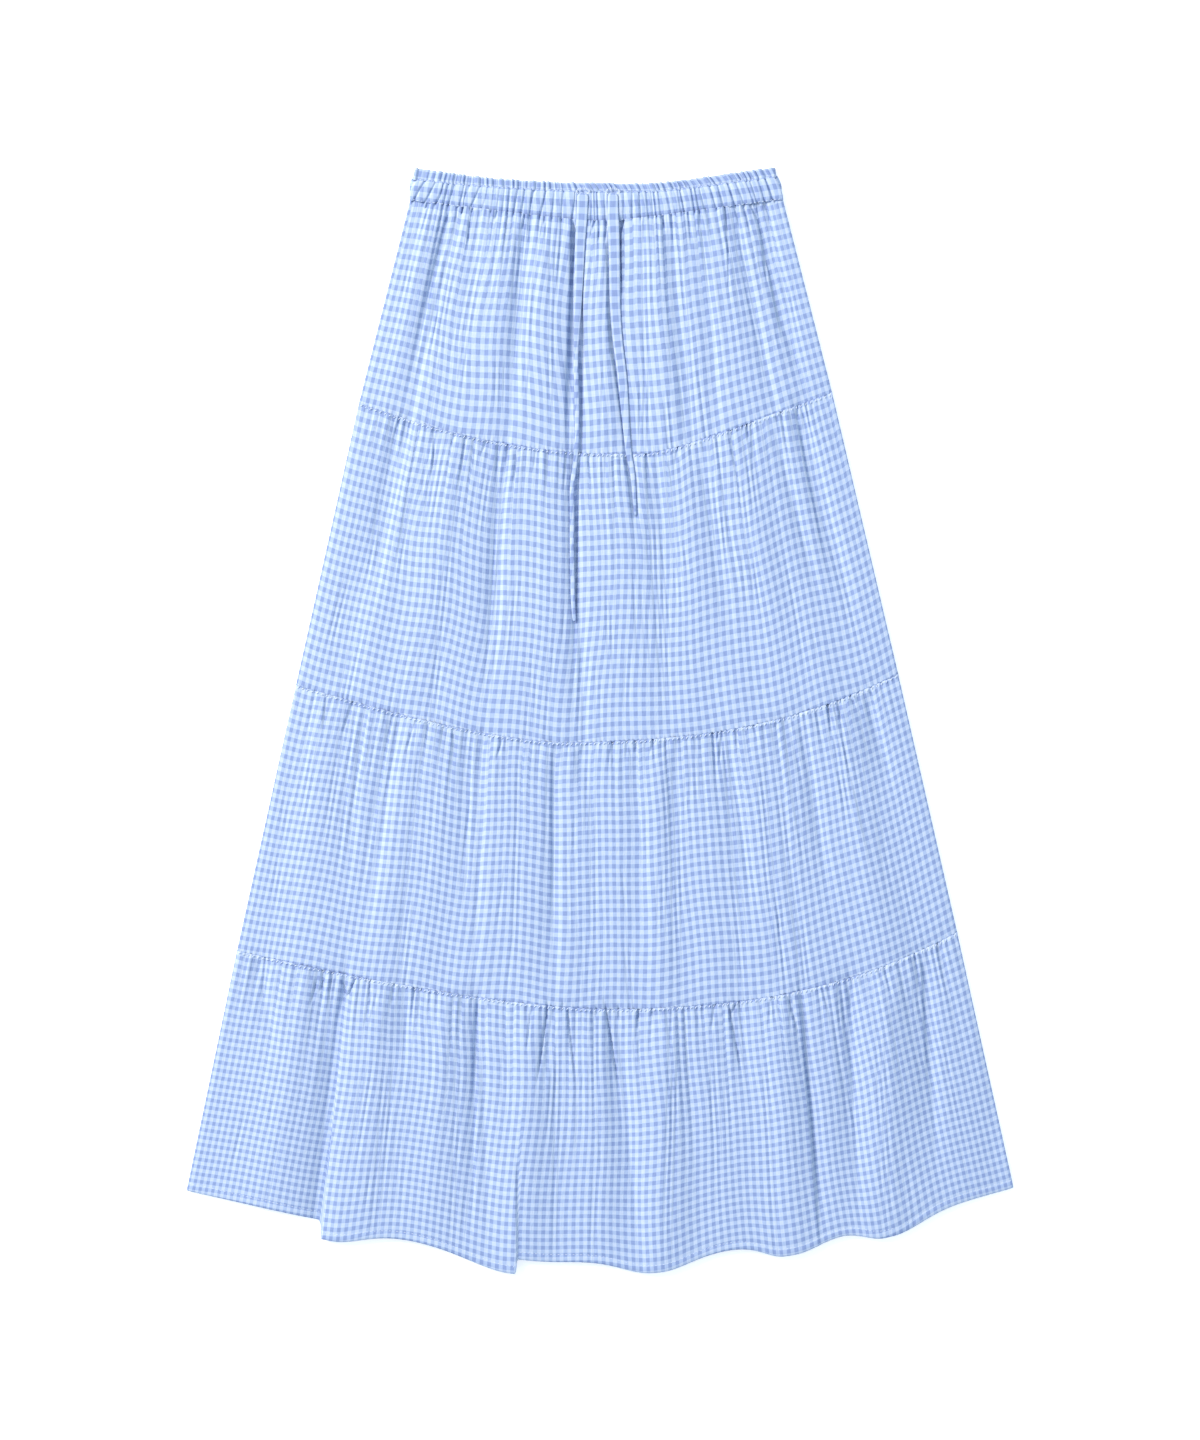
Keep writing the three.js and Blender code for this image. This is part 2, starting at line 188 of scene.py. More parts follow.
# Noises over the cloth: how many times finer than a check they are across and down, and their detail
WAVER_NOISE = (1.3, 1.3, 2)
YARN_NOISES = [(9, 0.8, 3), (0.8, 9, 3)]
CRINKLE_NOISES = [(2.6, 0.35, 3), (5, 2.5, 2)]


def link(tree, source, output, target, socket):
    tree.links.new(source.outputs[output], target.inputs[socket])


def maths(tree, kind, first, second):
    """A Math node on sockets or numbers."""
    node = tree.nodes.new("ShaderNodeMath")
    node.operation = kind
    for socket, value in zip(node.inputs, (first, second)):
        if isinstance(value, bpy.types.NodeSocket):
            tree.links.new(value, socket)
        elif value is not None:
            socket.default_value = value
    return node.outputs[0]


def stretched_noise(tree, checks, across, down, detail):
    """Noise over the cloth, across times and down times finer than a check."""
    mapping = tree.nodes.new("ShaderNodeMapping")
    mapping.inputs["Scale"].default_value = (across, down, 1)
    tree.links.new(checks, mapping.inputs["Vector"])
    noise = tree.nodes.new("ShaderNodeTexNoise")
    noise.inputs["Scale"].default_value = 1
    noise.inputs["Detail"].default_value = detail
    link(tree, mapping, "Vector", noise, "Vector")
    return noise


def make_gingham():
    material = bpy.data.materials.new("gingham")
    material.use_nodes = True
    tree = material.node_tree
    shader = tree.nodes["Principled BSDF"]
    shader.inputs["Roughness"].default_value = CLOTH_ROUGHNESS
    shader.inputs["Sheen Weight"].default_value = CLOTH_SHEEN
    shader.inputs["Sheen Roughness"].default_value = SHEEN_ROUGHNESS
    shader.inputs["Sheen Tint"].default_value = (*SHEEN_TINT, 1)
    shader.inputs["Specular IOR Level"].default_value = CLOTH_GLOSS
    uv = tree.nodes.new("ShaderNodeUVMap")
    uv.uv_map = "checks"
    checks = uv.outputs["UV"]
    waver = stretched_noise(tree, checks, *WAVER_NOISE)
    apart = tree.nodes.new("ShaderNodeSeparateXYZ")
    tree.links.new(checks, apart.inputs[0])
    sway = tree.nodes.new("ShaderNodeSeparateColor")
    link(tree, waver, "Color", sway, 0)
    stripes = []
    for axis in (0, 1):
        shift = maths(tree, "MULTIPLY", maths(tree, "SUBTRACT", sway.outputs[axis], 0.5), CHECK_WAVER)
        place = maths(tree, "ADD", apart.outputs[axis], shift)
        wave = maths(tree, "COSINE", maths(tree, "MULTIPLY", place, 2 * math.pi), None)
        soft = tree.nodes.new("ShaderNodeMapRange")
        soft.interpolation_type = "SMOOTHSTEP"
        soft.inputs["From Min"].default_value = -2 * CHECK_EDGE
        soft.inputs["From Max"].default_value = 2 * CHECK_EDGE
        tree.links.new(wave, soft.inputs["Value"])
        stripes.append(soft.outputs["Result"])
    blue = maths(tree, "MULTIPLY", maths(tree, "ADD", stripes[0], stripes[1]), 0.5)
    ramp = tree.nodes.new("ShaderNodeValToRGB")
    tree.links.new(blue, ramp.inputs["Fac"])
    ends = ramp.color_ramp.elements
    ends[0].color = (*WHITE_CHECK, 1)
    ends[1].color = (*DEEP_CHECK, 1)
    ends.new(0.5).color = (*MID_CHECK, 1)
    yarns = [stretched_noise(tree, checks, *noise).outputs["Fac"] for noise in YARN_NOISES]
    tone = tree.nodes.new("ShaderNodeMapRange")
    tone.inputs["From Min"].default_value = YARN_NOISE[0]
    tone.inputs["From Max"].default_value = YARN_NOISE[1]
    tone.inputs["To Min"].default_value = 1 - YARN_TONE
    tone.inputs["To Max"].default_value = 1 + YARN_TONE
    tree.links.new(maths(tree, "ADD", *yarns), tone.inputs["Value"])
    tinted = tree.nodes.new("ShaderNodeVectorMath")
    tinted.operation = "SCALE"
    link(tree, ramp, "Color", tinted, 0)
    tree.links.new(tone.outputs["Result"], tinted.inputs["Scale"])
    link(tree, tinted, "Vector", shader, "Base Color")
    crinkles = [stretched_noise(tree, checks, *noise).outputs["Fac"] for noise in CRINKLE_NOISES]
    bump = tree.nodes.new("ShaderNodeBump")
    bump.inputs["Strength"].default_value = CRINKLE_STRENGTH
    bump.inputs["Distance"].default_value = CRINKLE_DEPTH * MM
    tree.links.new(maths(tree, "ADD", *crinkles), bump.inputs["Height"])
    link(tree, bump, "Normal", shader, "Normal")
    return material


gingham = make_gingham()


def make_tie(name):
    route = spline(TIE_ROUTES[name])
    path, length = even_points(route, TIE_STEP)
    share = np.linspace(0, 1, len(path))
    form = np.array(TIE_FORMS[name])
    half_width = np.interp(share, form[:, 0], form[:, 1])
    half_thick = np.interp(share, form[:, 0], form[:, 2])
    turns = np.interp(share, form[:, 0], form[:, 3])
    tangent = np.gradient(path, axis=0)
    tangent /= np.linalg.norm(tangent, axis=1)[:, None]
    side = np.cross(tangent, (0, 0, 1))
    side /= np.linalg.norm(side, axis=1)[:, None]
    over = np.cross(side, tangent)
    rounding = np.ones(len(path))
    rounding[[0, -1]] = 0
    rounding[[1, -2]] = TIE_END_ROUND
    around = np.linspace(0, 2 * math.pi, TIE_SIDES + 1)
    across = np.cos(around)[None, :] * (half_width * rounding)[:, None]
    up = (np.sign(np.sin(around)) * np.abs(np.sin(around)) ** TIE_SQUARENESS)[None, :]
    up = up * (half_thick * rounding)[:, None]
    points = path[:, None, :] + side[:, None, :] * across[:, :, None]
    points = points + over[:, None, :] * up[:, :, None]
    laid_out = np.where(around <= math.pi, 1 - np.cos(around), 3 + np.cos(around))
    circle = (half_width + half_thick)[:, None] * laid_out[None, :]
    columns = circle / TIE_CHECK + turns[:, None] + TIE_STARTS[name]
    checks = np.broadcast_to(share[:, None] * length / TIE_CHECK, columns.shape)
    mesh = grid_mesh(name + "_cord", points[..., 0], points[..., 1], points[..., 2], columns, checks)
    close_mesh(mesh)
    piece = add_piece(name + "_cord", mesh, gingham, name)


for tie_name in TIE_ROUTES:
    make_tie(tie_name)


# Front of the four tiers
# Each is a wide strip of gingham, gathered along its top edge to the strip above and sewn to it, so
# that every tier is fuller than the last. Laid down, they puff up a little, with soft folds that
# run down from the gathers, narrow creases pressed beside each other, and ruffle waves at the hem.

# Ruffle waves that carry the hem lower: the place of each, its dip, and its width on each side
HEM_WAVES = [(-233.4, 15.6, 1.0, 38), (-74.7, 12.8, 46, 1.0), (47, 12.9, 34, 35), (161, 13.1, 25, 35),
             (246, 14.1, 27, 33)]
# Lines across the skirt: the ends, the sag between them, the share of the width where the line is
# lowest, how it bends down to there from the left and from the right, and its waves
LINES = {
    "frill_top": (-156.4, 469.3, 148.8, 469.3, 13.3, 0.65, 2.7, 1.05, []),
    "casing_top": (-159, 459.8, 149.6, 462, 11.9, 0.65, 2.3, 1.1, []),
    "casing_bottom": (-161.5, 441.2, 155.5, 442, 18.5, 0.51, 1.05, 1.05, []),
    "seam_1": (-204.8, 269.4, 197.2, 278, 49.5, 0.59, 2, 1.1, []),
    "seam_2": (-258.4, 29.8, 253.3, 39.1, 53.9, 0.46, 1.4, 2.6, []),
    "seam_3": (-308.6, -196.4, 303.4, -180.2, 58.4, 0.54, 1.4, 2.6, []),
    "hem_front": (-351.3, -399.5, 351.3, -397, 61.7, 0.45, 1.05, 1.8, HEM_WAVES),
    "hem_back": (-351.3, -399.5, 351.3, -397, 61.7, 0.45, 1.05, 1.8, []),
}
BEND_SOFTNESS = 0.02
# A hem wave's flat middle, and how soon the rows above the hem lose it
WAVE_FLAT = 3
WAVE_FADE = 3
# Long soft folds: where each starts and runs out, its half width, and how far it stands up
FRONT_FOLDS = [
    # First tier
    (-149, 434, -184, 276, 12, 1.6), (-126, 429, -166, 272, 10, -2.2), (-109, 429, -115, 344, 8, -1.6),
    (-87, 418, -105, 259, 12, 1.7), (-64, 427, -82, 246, 9, -2.1), (-55, 408, -55, 268, 13, 1.3),
    (-26, 429, -24, 221, 11, -2.2), (-3, 408, -1, 238, 11, 2.1), (6, 361, 31, 162, 8, -1.2),
    (17, 434, 15, 327, 8, -1.4), (38, 418, 48, 246, 12, 1.6), (53, 421, 72, 246, 8, -1.7),
    (85, 429, 94, 246, 8, -1.8), (108, 429, 140, 272, 9, -2.3), (121, 432, 150, 276, 11, 1.7),
    (133, 438, 163, 293, 11, -2.4),
    # Second tier
    (-170, 255, -196, 123, 11, -3.8), (-128, 238, -150, 60, 14, 1.7), (-87, 230, -96, 60, 9, -3.2),
    (-51, 219, -55, 47, 12, 1.7), (-28, 219, -20, -4, 9, -3.6), (7, 212, 12, 8, 17, 1.8),
    (42, 221, 57, 110, 8, -1.4), (68, 225, 85, 60, 12, 1.4), (81, 228, 106, 68, 9, -1.7),
    (106, 230, 138, 94, 14, 2.1), (142, 246, 174, 123, 9, -2.5), (163, 262, 200, 115, 10, -3.2),
    # Third tier
    (-240, 13, -262, -178, 13, 1.7), (-208, 7, -221, -128, 10, -2.5), (-177, 2, -202, -157, 10, -2.6),
    (-160, -4, -193, -221, 14, 1.6), (-106, -15, -113, -204, 10, -2.5), (-86, -21, -91, -200, 13, 1.5),
    (-46, -26, -44, -208, 8, -2.6), (-20, -26, -17, -60, 8, -1.7), (23, -24, 31, -178, 9, -1.6),
    (44, -26, 47, -225, 12, 1.6), (60, -21, 61, -98, 8, -1.7), (102, -15, 119, -144, 9, -2.2),
    (123, -13, 149, -208, 13, 1.6), (166, -2, 183, -128, 10, -2.7), (200, 8, 230, -200, 14, 1.6),
    (221, 17, 238, -47, 9, -2.1),
    # Hem tier
    (-296, -202, -285, -272, 10, -2.1), (-268, -211, -287, -408, 15, 1.8),
    (-242, -217, -242, -272, 9, -1.8), (-198, -225, -212, -442, 17, 2.0),
    (-226, -225, -250, -480, 14, -3.6), (-173, -228, -173, -280, 10, -2.1),
    (-136, -238, -144, -442, 15, 1.6), (-110, -238, -104, -418, 12, -2.4),
    (-68, -248, -80, -468, 17, 4.0), (-47, -246, -51, -298, 9, -2.1), (-27, -246, -26, -285, 8, -1.8),
    (6, -246, 25, -450, 12, -3.2), (44, -253, 44, -468, 20, 3.9), (64, -248, 72, -348, 10, -1.7),
    (110, -242, 119, -310, 10, -2.0), (142, -242, 159, -455, 20, 3.9), (161, -231, 178, -412, 12, -2.4),
    (204, -223, 210, -395, 13, -3.8), (235, -221, 230, -439, 16, 3.6), (268, -204, 276, -353, 12, -3.0),
    (319, -246, 332, -378, 9, -1.8),
]
# How a fold rises, runs out and widens along its length, as shares of that. A ridge's top and a trough's
# bottom lie a share of its width to the right of its line, and a trough's right side is the steeper
# one. A deep trough has a narrow core too.
FOLD_START = 0.14
FOLD_END = 0.35
FOLD_SPREAD = 0.35
DEEP_FOLD = -2.0
FOLD_SHIFT = 0.55
TROUGH_SHIFT = 0.68
TROUGH_STEEP = 0.5
CORE_SHARE = 0.28
CORE_WIDTH = 2.2

# Folds that lie over their neighbour with a crisp edge: where the edge starts and ends, the side that
# the raised cloth is on, how high it stands, how wide it is, and how deep the cloth beside it dips
CRISP_FOLDS = [
    # First tier
    (-127.5, 430, -151, 323, 1, 1.2, 7, 3.4), (-14, 384, -18, 225, 1, 1.3, 9, 0),
    (-24, 432, -22, 340, -1, 1.1, 9, 0), (134, 440, 168, 300, 1, 0.9, 8, 3.6),
    (91, 430, 104, 330, -1, 0.7, 8, 0.6), (-62, 425, -73, 290, 1, 0.8, 8, 1.6),
    # Second tier
    (-17.5, 224, -21, 20, 1, 1.3, 10, 0.8), (-84, 228, -93, 60, 1, 0.8, 9, 1.5),
    (57, 222, 62, 190, -1, 0.7, 7, 0.4), (165, 262, 187, 150, -1, 1.0, 9, 0.6),
    (-172, 256, -186, 160, 1, 0.9, 8, 2.0), (100, 232, 118, 120, 1, 0.7, 9, 1.0),
    # Third tier
    (197, 15, 224, -102, -1, 1.3, 9, 0.8), (161, 0, 171, -45, 1, 0.9, 8, 1.4),
    (-41, -25, -41, -150, -1, 0.9, 9, 0.8), (-207, 8, -219, -110, 1, 0.8, 9, 1.4),
    (104, -14, 117, -120, 1, 0.7, 8, 1.2), (-176, 2, -197, -120, 1, 0.7, 8, 1.3),
    (-108, -16, -112, -140, 1, 0.7, 8, 1.8),
    # Hem tier
    (-214.5, -222, -244.5, -520, 1, 2.2, 11, 5.2), (-71, -376, -70.5, -462, -1, 1.6, 14, 0.8),
    (-102, -238, -106.5, -400, 1, 0.8, 9, 3.6), (169, -238, 184, -420, -1, 1.5, 14, 2.4),
    (215, -230, 217, -340, 1, 0.9, 9, 1.6), (272, -208, 277, -300, -1, 0.9, 9, 1.0),
    (9, -250, 20, -340, 1, 0.7, 8, 1.2),
]
CRISP_SOFTNESS = 0.8

# How high the laid cloth stands, how it comes down at the sides and the seams, and how far it stays
# under the ties
LOFT = 5.6
EDGE_ROLL = 0.9
EDGE_BULGE = 3
BULGE_REACH = 20
SIDE_LOFT = 0.42
SIDE_REACH = 80
SEAM_PINCH = 0.6
PINCH_REACH = 9
EDGE_HEIGHT = 1.75
EDGE_LIFT = 0.75
EDGE_LIFT_REACH = 7
SEAM_GAP = 0.3
WALL = 0.75
SEAM_DITCH = 0.35
DITCH_REACH = 1.6
TUCK_UNDER = 1.1
TUCK_REACH = 1.1
TUCK_DITCH = 0.6
TIE_CLEARANCE = 1.2
TIE_MARGIN = 1.7
EDGE_FADE = 25
LOWEST_FRONT = 2.5

# Deep slots where a fold turns right under its neighbour: the places along each, with its half width
# and depth there
SLOTS = [
    [(-23.6, 424, 0.8, 0), (-22.6, 415, 2.7, 4.6), (-23.4, 400, 2.2, 4.9), (-24, 378, 1.8, 4.9),
     (-24.4, 350, 2, 4.9), (-25, 322, 2.7, 4.9), (-25.8, 290, 3, 3.6), (-26, 255, 3.4, 2),
     (-25, 232, 4, 0.6)],
    [(-14, 390, 0.8, 0), (-14.8, 377, 1.4, 2.8), (-15.8, 362, 1.9, 4), (-16.6, 348, 2.8, 4.9),
     (-17, 335, 3.6, 5.2), (-17, 318, 4, 5.2), (-16.8, 303, 3.4, 4.9), (-16.4, 285, 2.5, 4.4),
     (-16.2, 262, 2.1, 3.8), (-16.2, 226, 1.7, 2.8)],
    [(15, 436, 1, 1.5), (18.2, 424, 2.8, 4.9), (17.2, 414, 1.4, 4.6), (17.4, 400, 0.9, 3.6),
     (17.8, 380, 0.8, 2.6), (18.2, 357, 0.8, 0)],
    [(7.6, 385, 0.8, 0), (7.6, 360, 1, 1.6), (8.4, 335, 1.8, 3.4), (9.8, 318, 1.8, 3),
     (12.5, 300, 1.1, 2.2), (16, 275, 0.9, 1.8), (19.5, 250, 0.9, 1.8), (21.6, 230, 0.8, 1)],
    [(-127, 432, 1.4, 0), (-129.5, 422, 2.8, 4.4), (-132.5, 406, 3.7, 5), (-137, 390, 3.1, 4.4),
     (-141.5, 372, 2.5, 2.6), (-148, 345, 2, 0)],
    [(132, 441, 0.8, 0), (134.5, 434, 2, 3), (137.5, 420, 3, 4.4), (141.5, 400, 3.9, 5),
     (146, 380, 3.6, 4.6), (150, 355, 3.1, 3.2), (156, 325, 2.6, 0)],
    [(-16.6, 224, 0.9, 2.4), (-18.4, 200, 1.6, 4), (-20, 170, 2.2, 4.6), (-21, 130, 2.2, 3.4),
     (-21.6, 60, 1.4, 0)],
    [(-168, 262, 1, 0), (-171, 250, 2, 3.2), (-175, 226, 3, 3.6), (-181, 185, 3.4, 3),
     (-190, 122, 3, 0)],
    [(-104, -237, 0.8, 0), (-105, -248, 1.2, 2.2), (-106.5, -290, 1.4, 2), (-107, -330, 1.4, 0)],
]
# Short crisp creases by the gathers: where each starts and ends, and its depth
NIPS = [
    (-44.2, -240.6, -54.4, -314.5, 2), (-28, -243, -19.5, -314.5, 1.8), (4.3, -242, 17, -316, 2.4),
    (15.3, -243, 17, -257, 2.2), (32.3, -246.5, 31.5, -257, 1.6), (-3.4, -243, -2.6, -253, 1.4),
    (-31.5, -240.6, -32.3, -248, 1.6), (108.8, -240.6, 111.4, -256.7, 2.4),
    (111.4, -256.7, 120.7, -299, 1.5), (115.6, -240.6, 109.7, -251.6, 1.6),
    (159.8, -236, 170, -272, 1.4), (-241.4, -222.3, -245.6, -243, 1.8), (-235, -221, -238, -231, 1.5),
    (-207.7, -219.3, -214.7, -238, 2.2), (-219, -221, -214.7, -235.5, 1.6),
    (-58.3, -246.5, -62.6, -283, 1.5), (-115.6, 437, -117.3, 428.4, 2.2),
    (-107, 439.5, -108.8, 430, 2.2), (-145.4, 439.5, -147, 433.5, 1.8), (-86.7, 435, -89.3, 423.3, 1.4),
    (-63.8, 430, -66.3, 414.8, 1.8), (-110.5, 423.3, -112.2, 399.5, 1.2), (125, 442, 133.5, 423.3, 1.8),
    (133.5, 423.3, 142, 365.5, 1.4), (137.7, 439.5, 147, 420.8, 1.4), (105.4, 439.5, 108, 408, 1.6),
    (108, 408, 109.7, 357, 1.2),
]
NIP_HALF = 0.9
NIP_START = 0.1
NIP_END = (0.6, 1.05)
SLOT_SHARPNESS = 8
# How far the cloth beside a slot or a crisp fold leans over it, and where it does
LIP_OVER = 0.15
LIP_PLACE = (1.35, 0.35)
FOLD_LEAN = 0.22
LEAN_PLACE = (1.5, 1.3)


def slots_at(x, y):
    """For each slot: how far off its middle a point is, in half widths, and its depth there."""
    for slot in SLOTS:
        points = np.array(slot)[::-1]
        middle, half, deep = (np.interp(y, points[:, 1], points[:, k]) for k in (0, 2, 3))
        yield (x - middle) / half, np.where((y < points[0, 1]) | (y > points[-1, 1]), 0, deep)
    for start_x, start_y, end_x, end_y, deep in NIPS:
        along = (start_y - y) / (start_y - end_y)
        shown = smoothstep(-NIP_START, NIP_START, along) * (1 - smoothstep(*NIP_END, along))
        yield (x - start_x - (end_x - start_x) * along) / NIP_HALF, deep * shown


def slot_depth(x, y):
    depth = np.zeros_like(x)
    for off, deep in slots_at(x, y):
        depth = np.maximum(depth, deep / (1 + off ** SLOT_SHARPNESS))
    return depth


def lean_over(x, y):
    """How far the cloth beside the slots and the crisp folds leans over them."""
    place, reach = LIP_PLACE
    lean = sum(-np.sign(off) * LIP_OVER * deep * np.exp(-((np.abs(off) - place) / reach) ** 2)
               for off, deep in slots_at(x, y))
    place, reach = LEAN_PLACE
    for start_x, start_y, end_x, end_y, side, tall, _, dip in CRISP_FOLDS:
        along, shown = fold_shown(y, start_y, end_y)
        off = side * (x - (start_x + (end_x - start_x) * along))
        lean -= side * FOLD_LEAN * (tall + dip) * shown * np.exp(-((off - place) / reach) ** 2)
    return lean


def smoothstep(low, high, value):
    share = np.clip((value - low) / (high - low), 0, 1)
    return share * share * (3 - 2 * share)


def line_point(name, u):
    """The point of a line at share u of its width, and how far a wave carries the hem lower there."""
    left_x, left_y, right_x, right_y, sag, lowest, left_bend, right_bend, waves = LINES[name]
    on_left = u < lowest
    away = np.where(on_left, (lowest - u) / lowest, (u - lowest) / (1 - lowest))
    power = np.where(on_left, left_bend, right_bend) / 2
    bottom = BEND_SOFTNESS ** power
    rise = ((away ** 2 + BEND_SOFTNESS) ** power - bottom) / ((1 + BEND_SOFTNESS) ** power - bottom)
    x = left_x + (right_x - left_x) * u
    y = left_y + (right_y - left_y) * u - sag * (1 - rise)
    wave_dip = np.zeros_like(x)
    for wave_x, dip, left, right in waves:
        beyond = np.maximum(np.abs(x - wave_x) - WAVE_FLAT, 0)
        wave_dip += dip * np.exp(-(beyond / np.where(x < wave_x, left, right)) ** 2)
    return x, y, wave_dip


def place_between(upper, lower, u, v):
    """The place of a point between two lines, the width there, and its distance from the sides,
    from the upper line and from the lower one."""
    top_x, top_y, _ = line_point(upper, u)
    bottom_x, bottom_y, wave_dip = line_point(lower, u)
    top_y = top_y - SEAM_GAP / 2
    bottom_y = bottom_y + SEAM_GAP / 2
    x = top_x + (bottom_x - top_x) * v
    y = top_y + (bottom_y - top_y) * v - wave_dip * v ** WAVE_FADE
    upper_width = LINES[upper][2] - LINES[upper][0]
    lower_width = LINES[lower][2] - LINES[lower][0]
    width = upper_width + (lower_width - upper_width) * v
    edge = np.minimum(u, 1 - u) * width
    below = np.maximum(top_y - y, 0)
    above = np.maximum(y + wave_dip - bottom_y, 0)
    return x, y, width, edge, below, above


def fold_shown(y, start_y, end_y):
    """How far down a fold a point is, as a share of it, and how fully the fold shows there."""
    along = (start_y - y) / (start_y - end_y)
    risen = smoothstep(-FOLD_START, FOLD_START, along)
    return along, risen * (1 - smoothstep(1 - FOLD_END, 1 + FOLD_END, along))


def fold_height(x, y):
    height = np.zeros_like(x)
    for start_x, start_y, end_x, end_y, width, tall in FRONT_FOLDS:
        along, shown = fold_shown(y, start_y, end_y)
        shift = FOLD_SHIFT if tall > 0 else TROUGH_SHIFT
        off = x - shift * width - (start_x + (end_x - start_x) * along)
        spread = width * (1 + FOLD_SPREAD * (along - 0.5))
        if tall < 0:
            spread = np.where(off > 0, TROUGH_STEEP, 1) * spread
        height += tall * shown * np.exp(-(off / spread) ** 2)
        if tall < DEEP_FOLD:
            height += CORE_SHARE * tall * shown * np.exp(-(off / CORE_WIDTH) ** 2)
    for start_x, start_y, end_x, end_y, side, tall, width, dip in CRISP_FOLDS:
        along, shown = fold_shown(y, start_y, end_y)
        off = side * (x - (start_x + (end_x - start_x) * along))
        rise = 0.5 * (1 + np.tanh(off / CRISP_SOFTNESS))
        height += tall * shown * rise * np.exp(-np.maximum(off, 0) / width)
        height -= dip * shown * (1 - rise) * np.exp(np.minimum(off, 0) / width)
    return height


def uneven_knots(draw, count, spread):
    """Shares of the width between gathers that are a little uneven in width."""
    widths = 1 + spread * (draw.random(count) - 0.5)
    return np.concatenate([[0], np.cumsum(widths)]) / widths.sum()


VALLEY_HALF = 0.8
GATHER_FADE = 1.4
WAVE_LEAN = 1.5


def gather_ridges(u, below, width, knots, tall, reach, roundness):
    """Ridges of gathered cloth that run down and fade, with sharp valleys between them: their
    height, and how much cloth is tucked out of sight in the valleys."""
    count = len(knots) - 1
    phase = np.interp(u, knots, np.arange(count + 1))
    which = np.minimum(phase.astype(int), count - 1)
    t = phase - which
    fade = np.exp(-(below / reach[which]) ** GATHER_FADE)
    ridge = np.sin(math.pi * np.clip(t, 0, 1)) ** roundness
    valley = np.exp(-(np.minimum(t, 1 - t) * np.diff(knots)[which] * width / VALLEY_HALF) ** 2)
    return tall[which] * ridge * fade, valley * fade * tall[which]


def slow_waves(draw, count, low, high):
    """A smooth uneven wave over shares of the width and height."""
    waves = [(draw.uniform(low, high), draw.uniform(0, 2 * math.pi), draw.uniform(-WAVE_LEAN, WAVE_LEAN))
             for _ in range(count)]

    def wave(u, v):
        total = sum(np.sin(2 * math.pi * turns * u + start + lean * v) for turns, start, lean in waves)
        return total / math.sqrt(count)
    return wave


# Clusters of narrow creases pressed into the cloth: where each starts and ends, how many lines lie
# side by side, and their depth
PRESSED_CREASES = [
    (-85, 150, -95, 22, 3, 0.45), (48, 130, 56, 20, 3, 0.5), (31, 180, 35, 100, 1, 0.35),
    (117, 215, 135, 90, 2, 0.45), (-120, 215, -137, 70, 2, 0.4), (64, -70, 66, -210, 3, 0.5),
    (137, -45, 152, -215, 3, 0.5), (152, -60, 172, -215, 2, 0.5), (107, -25, 113, -90, 2, 0.4),
    (-152, -20, -170, -190, 2, 0.45), (-68, -40, -72, -190, 2, 0.45), (-5, -50, -6, -200, 2, 0.4),
    (-262, -40, -280, -190, 2, 0.4), (62, -290, 58, -440, 3, 0.55), (140, -290, 150, -455, 2, 0.5),
    (-180, -300, -190, -430, 3, 0.5), (-35, -280, -38, -450, 2, 0.45), (238, -270, 243, -420, 3, 0.55),
    (-120, -290, -125, -440, 2, 0.45), (95, -270, 100, -400, 2, 0.4), (38, 400, 40, 260, 2, 0.4),
    (-100, 400, -118, 290, 2, 0.4), (70, 395, 80, 250, 2, 0.4), (-40, 395, -42, 250, 2, 0.4),
    (118, 400, 140, 300, 2, 0.4),
]
CREASE_PITCH = 3.6
CREASE_SPAN = 1.0
CREASE_DEPTH = 1.5
CREASE_TUCK = 1.4
SCATTERED_CREASES = 46
SEAM_NIPS = 24
# The ranges that scattered ones are drawn from, as shares of the tier; their depths are in mm
CREASE_MIDDLES = (0.03, 0.97)
CREASE_STARTS = (-0.1, 0.75)
CREASE_LENGTHS = (0.15, 0.6)
CREASE_DRIFTS = (-0.012, 0.012)
CREASE_DEPTHS = (0.2, 0.6)
NIP_LENGTHS = (0.05, 0.2)
NIP_DEPTHS = (0.6, 1.3)


def dent_shown(along):
    """How fully a dent shows at a share of its length: it rises softly and runs out softly."""
    return smoothstep(0, 0.3, along) * (1 - smoothstep(0.6, 1, along))


def crease_height(x, y, u, v, width, draw):
    """Pressed creases, those listed and others scattered over the tier."""
    height = np.zeros_like(x)
    tucked = np.zeros_like(x)
    placed = []
    for start_x, start_y, end_x, end_y, lines, depth in PRESSED_CREASES:
        along, shown = fold_shown(y, start_y, end_y)
        placed.append((x - (start_x + (end_x - start_x) * along), shown, lines, depth))
    for _ in range(SCATTERED_CREASES):
        middle = draw.uniform(*CREASE_MIDDLES)
        start = draw.uniform(*CREASE_STARTS)
        length = draw.uniform(*CREASE_LENGTHS)
        drift = draw.uniform(*CREASE_DRIFTS)
        lines = int(draw.integers(1, 4))
        depth = draw.uniform(*CREASE_DEPTHS)
        along = (v - start) / length
        shown = dent_shown(along)
        placed.append(((u - middle - drift * along) * width, shown, lines, depth))
    for _ in range(SEAM_NIPS):
        middle = draw.uniform(*CREASE_MIDDLES)
        along = v / draw.uniform(*NIP_LENGTHS)
        drift = draw.uniform(*CREASE_DRIFTS)
        placed.append(((u - middle - drift * along) * width, 1 - smoothstep(0.4, 1, along), 1,
                       draw.uniform(*NIP_DEPTHS)))
    for off, shown, lines, depth in placed:
        for line in range(lines):
            beside = off - (line - (lines - 1) / 2) * CREASE_PITCH
            dent = np.exp(-(beside / CREASE_SPAN) ** 2) * shown * depth * CREASE_DEPTH
            height -= dent
            tucked += dent
    return height, tucked


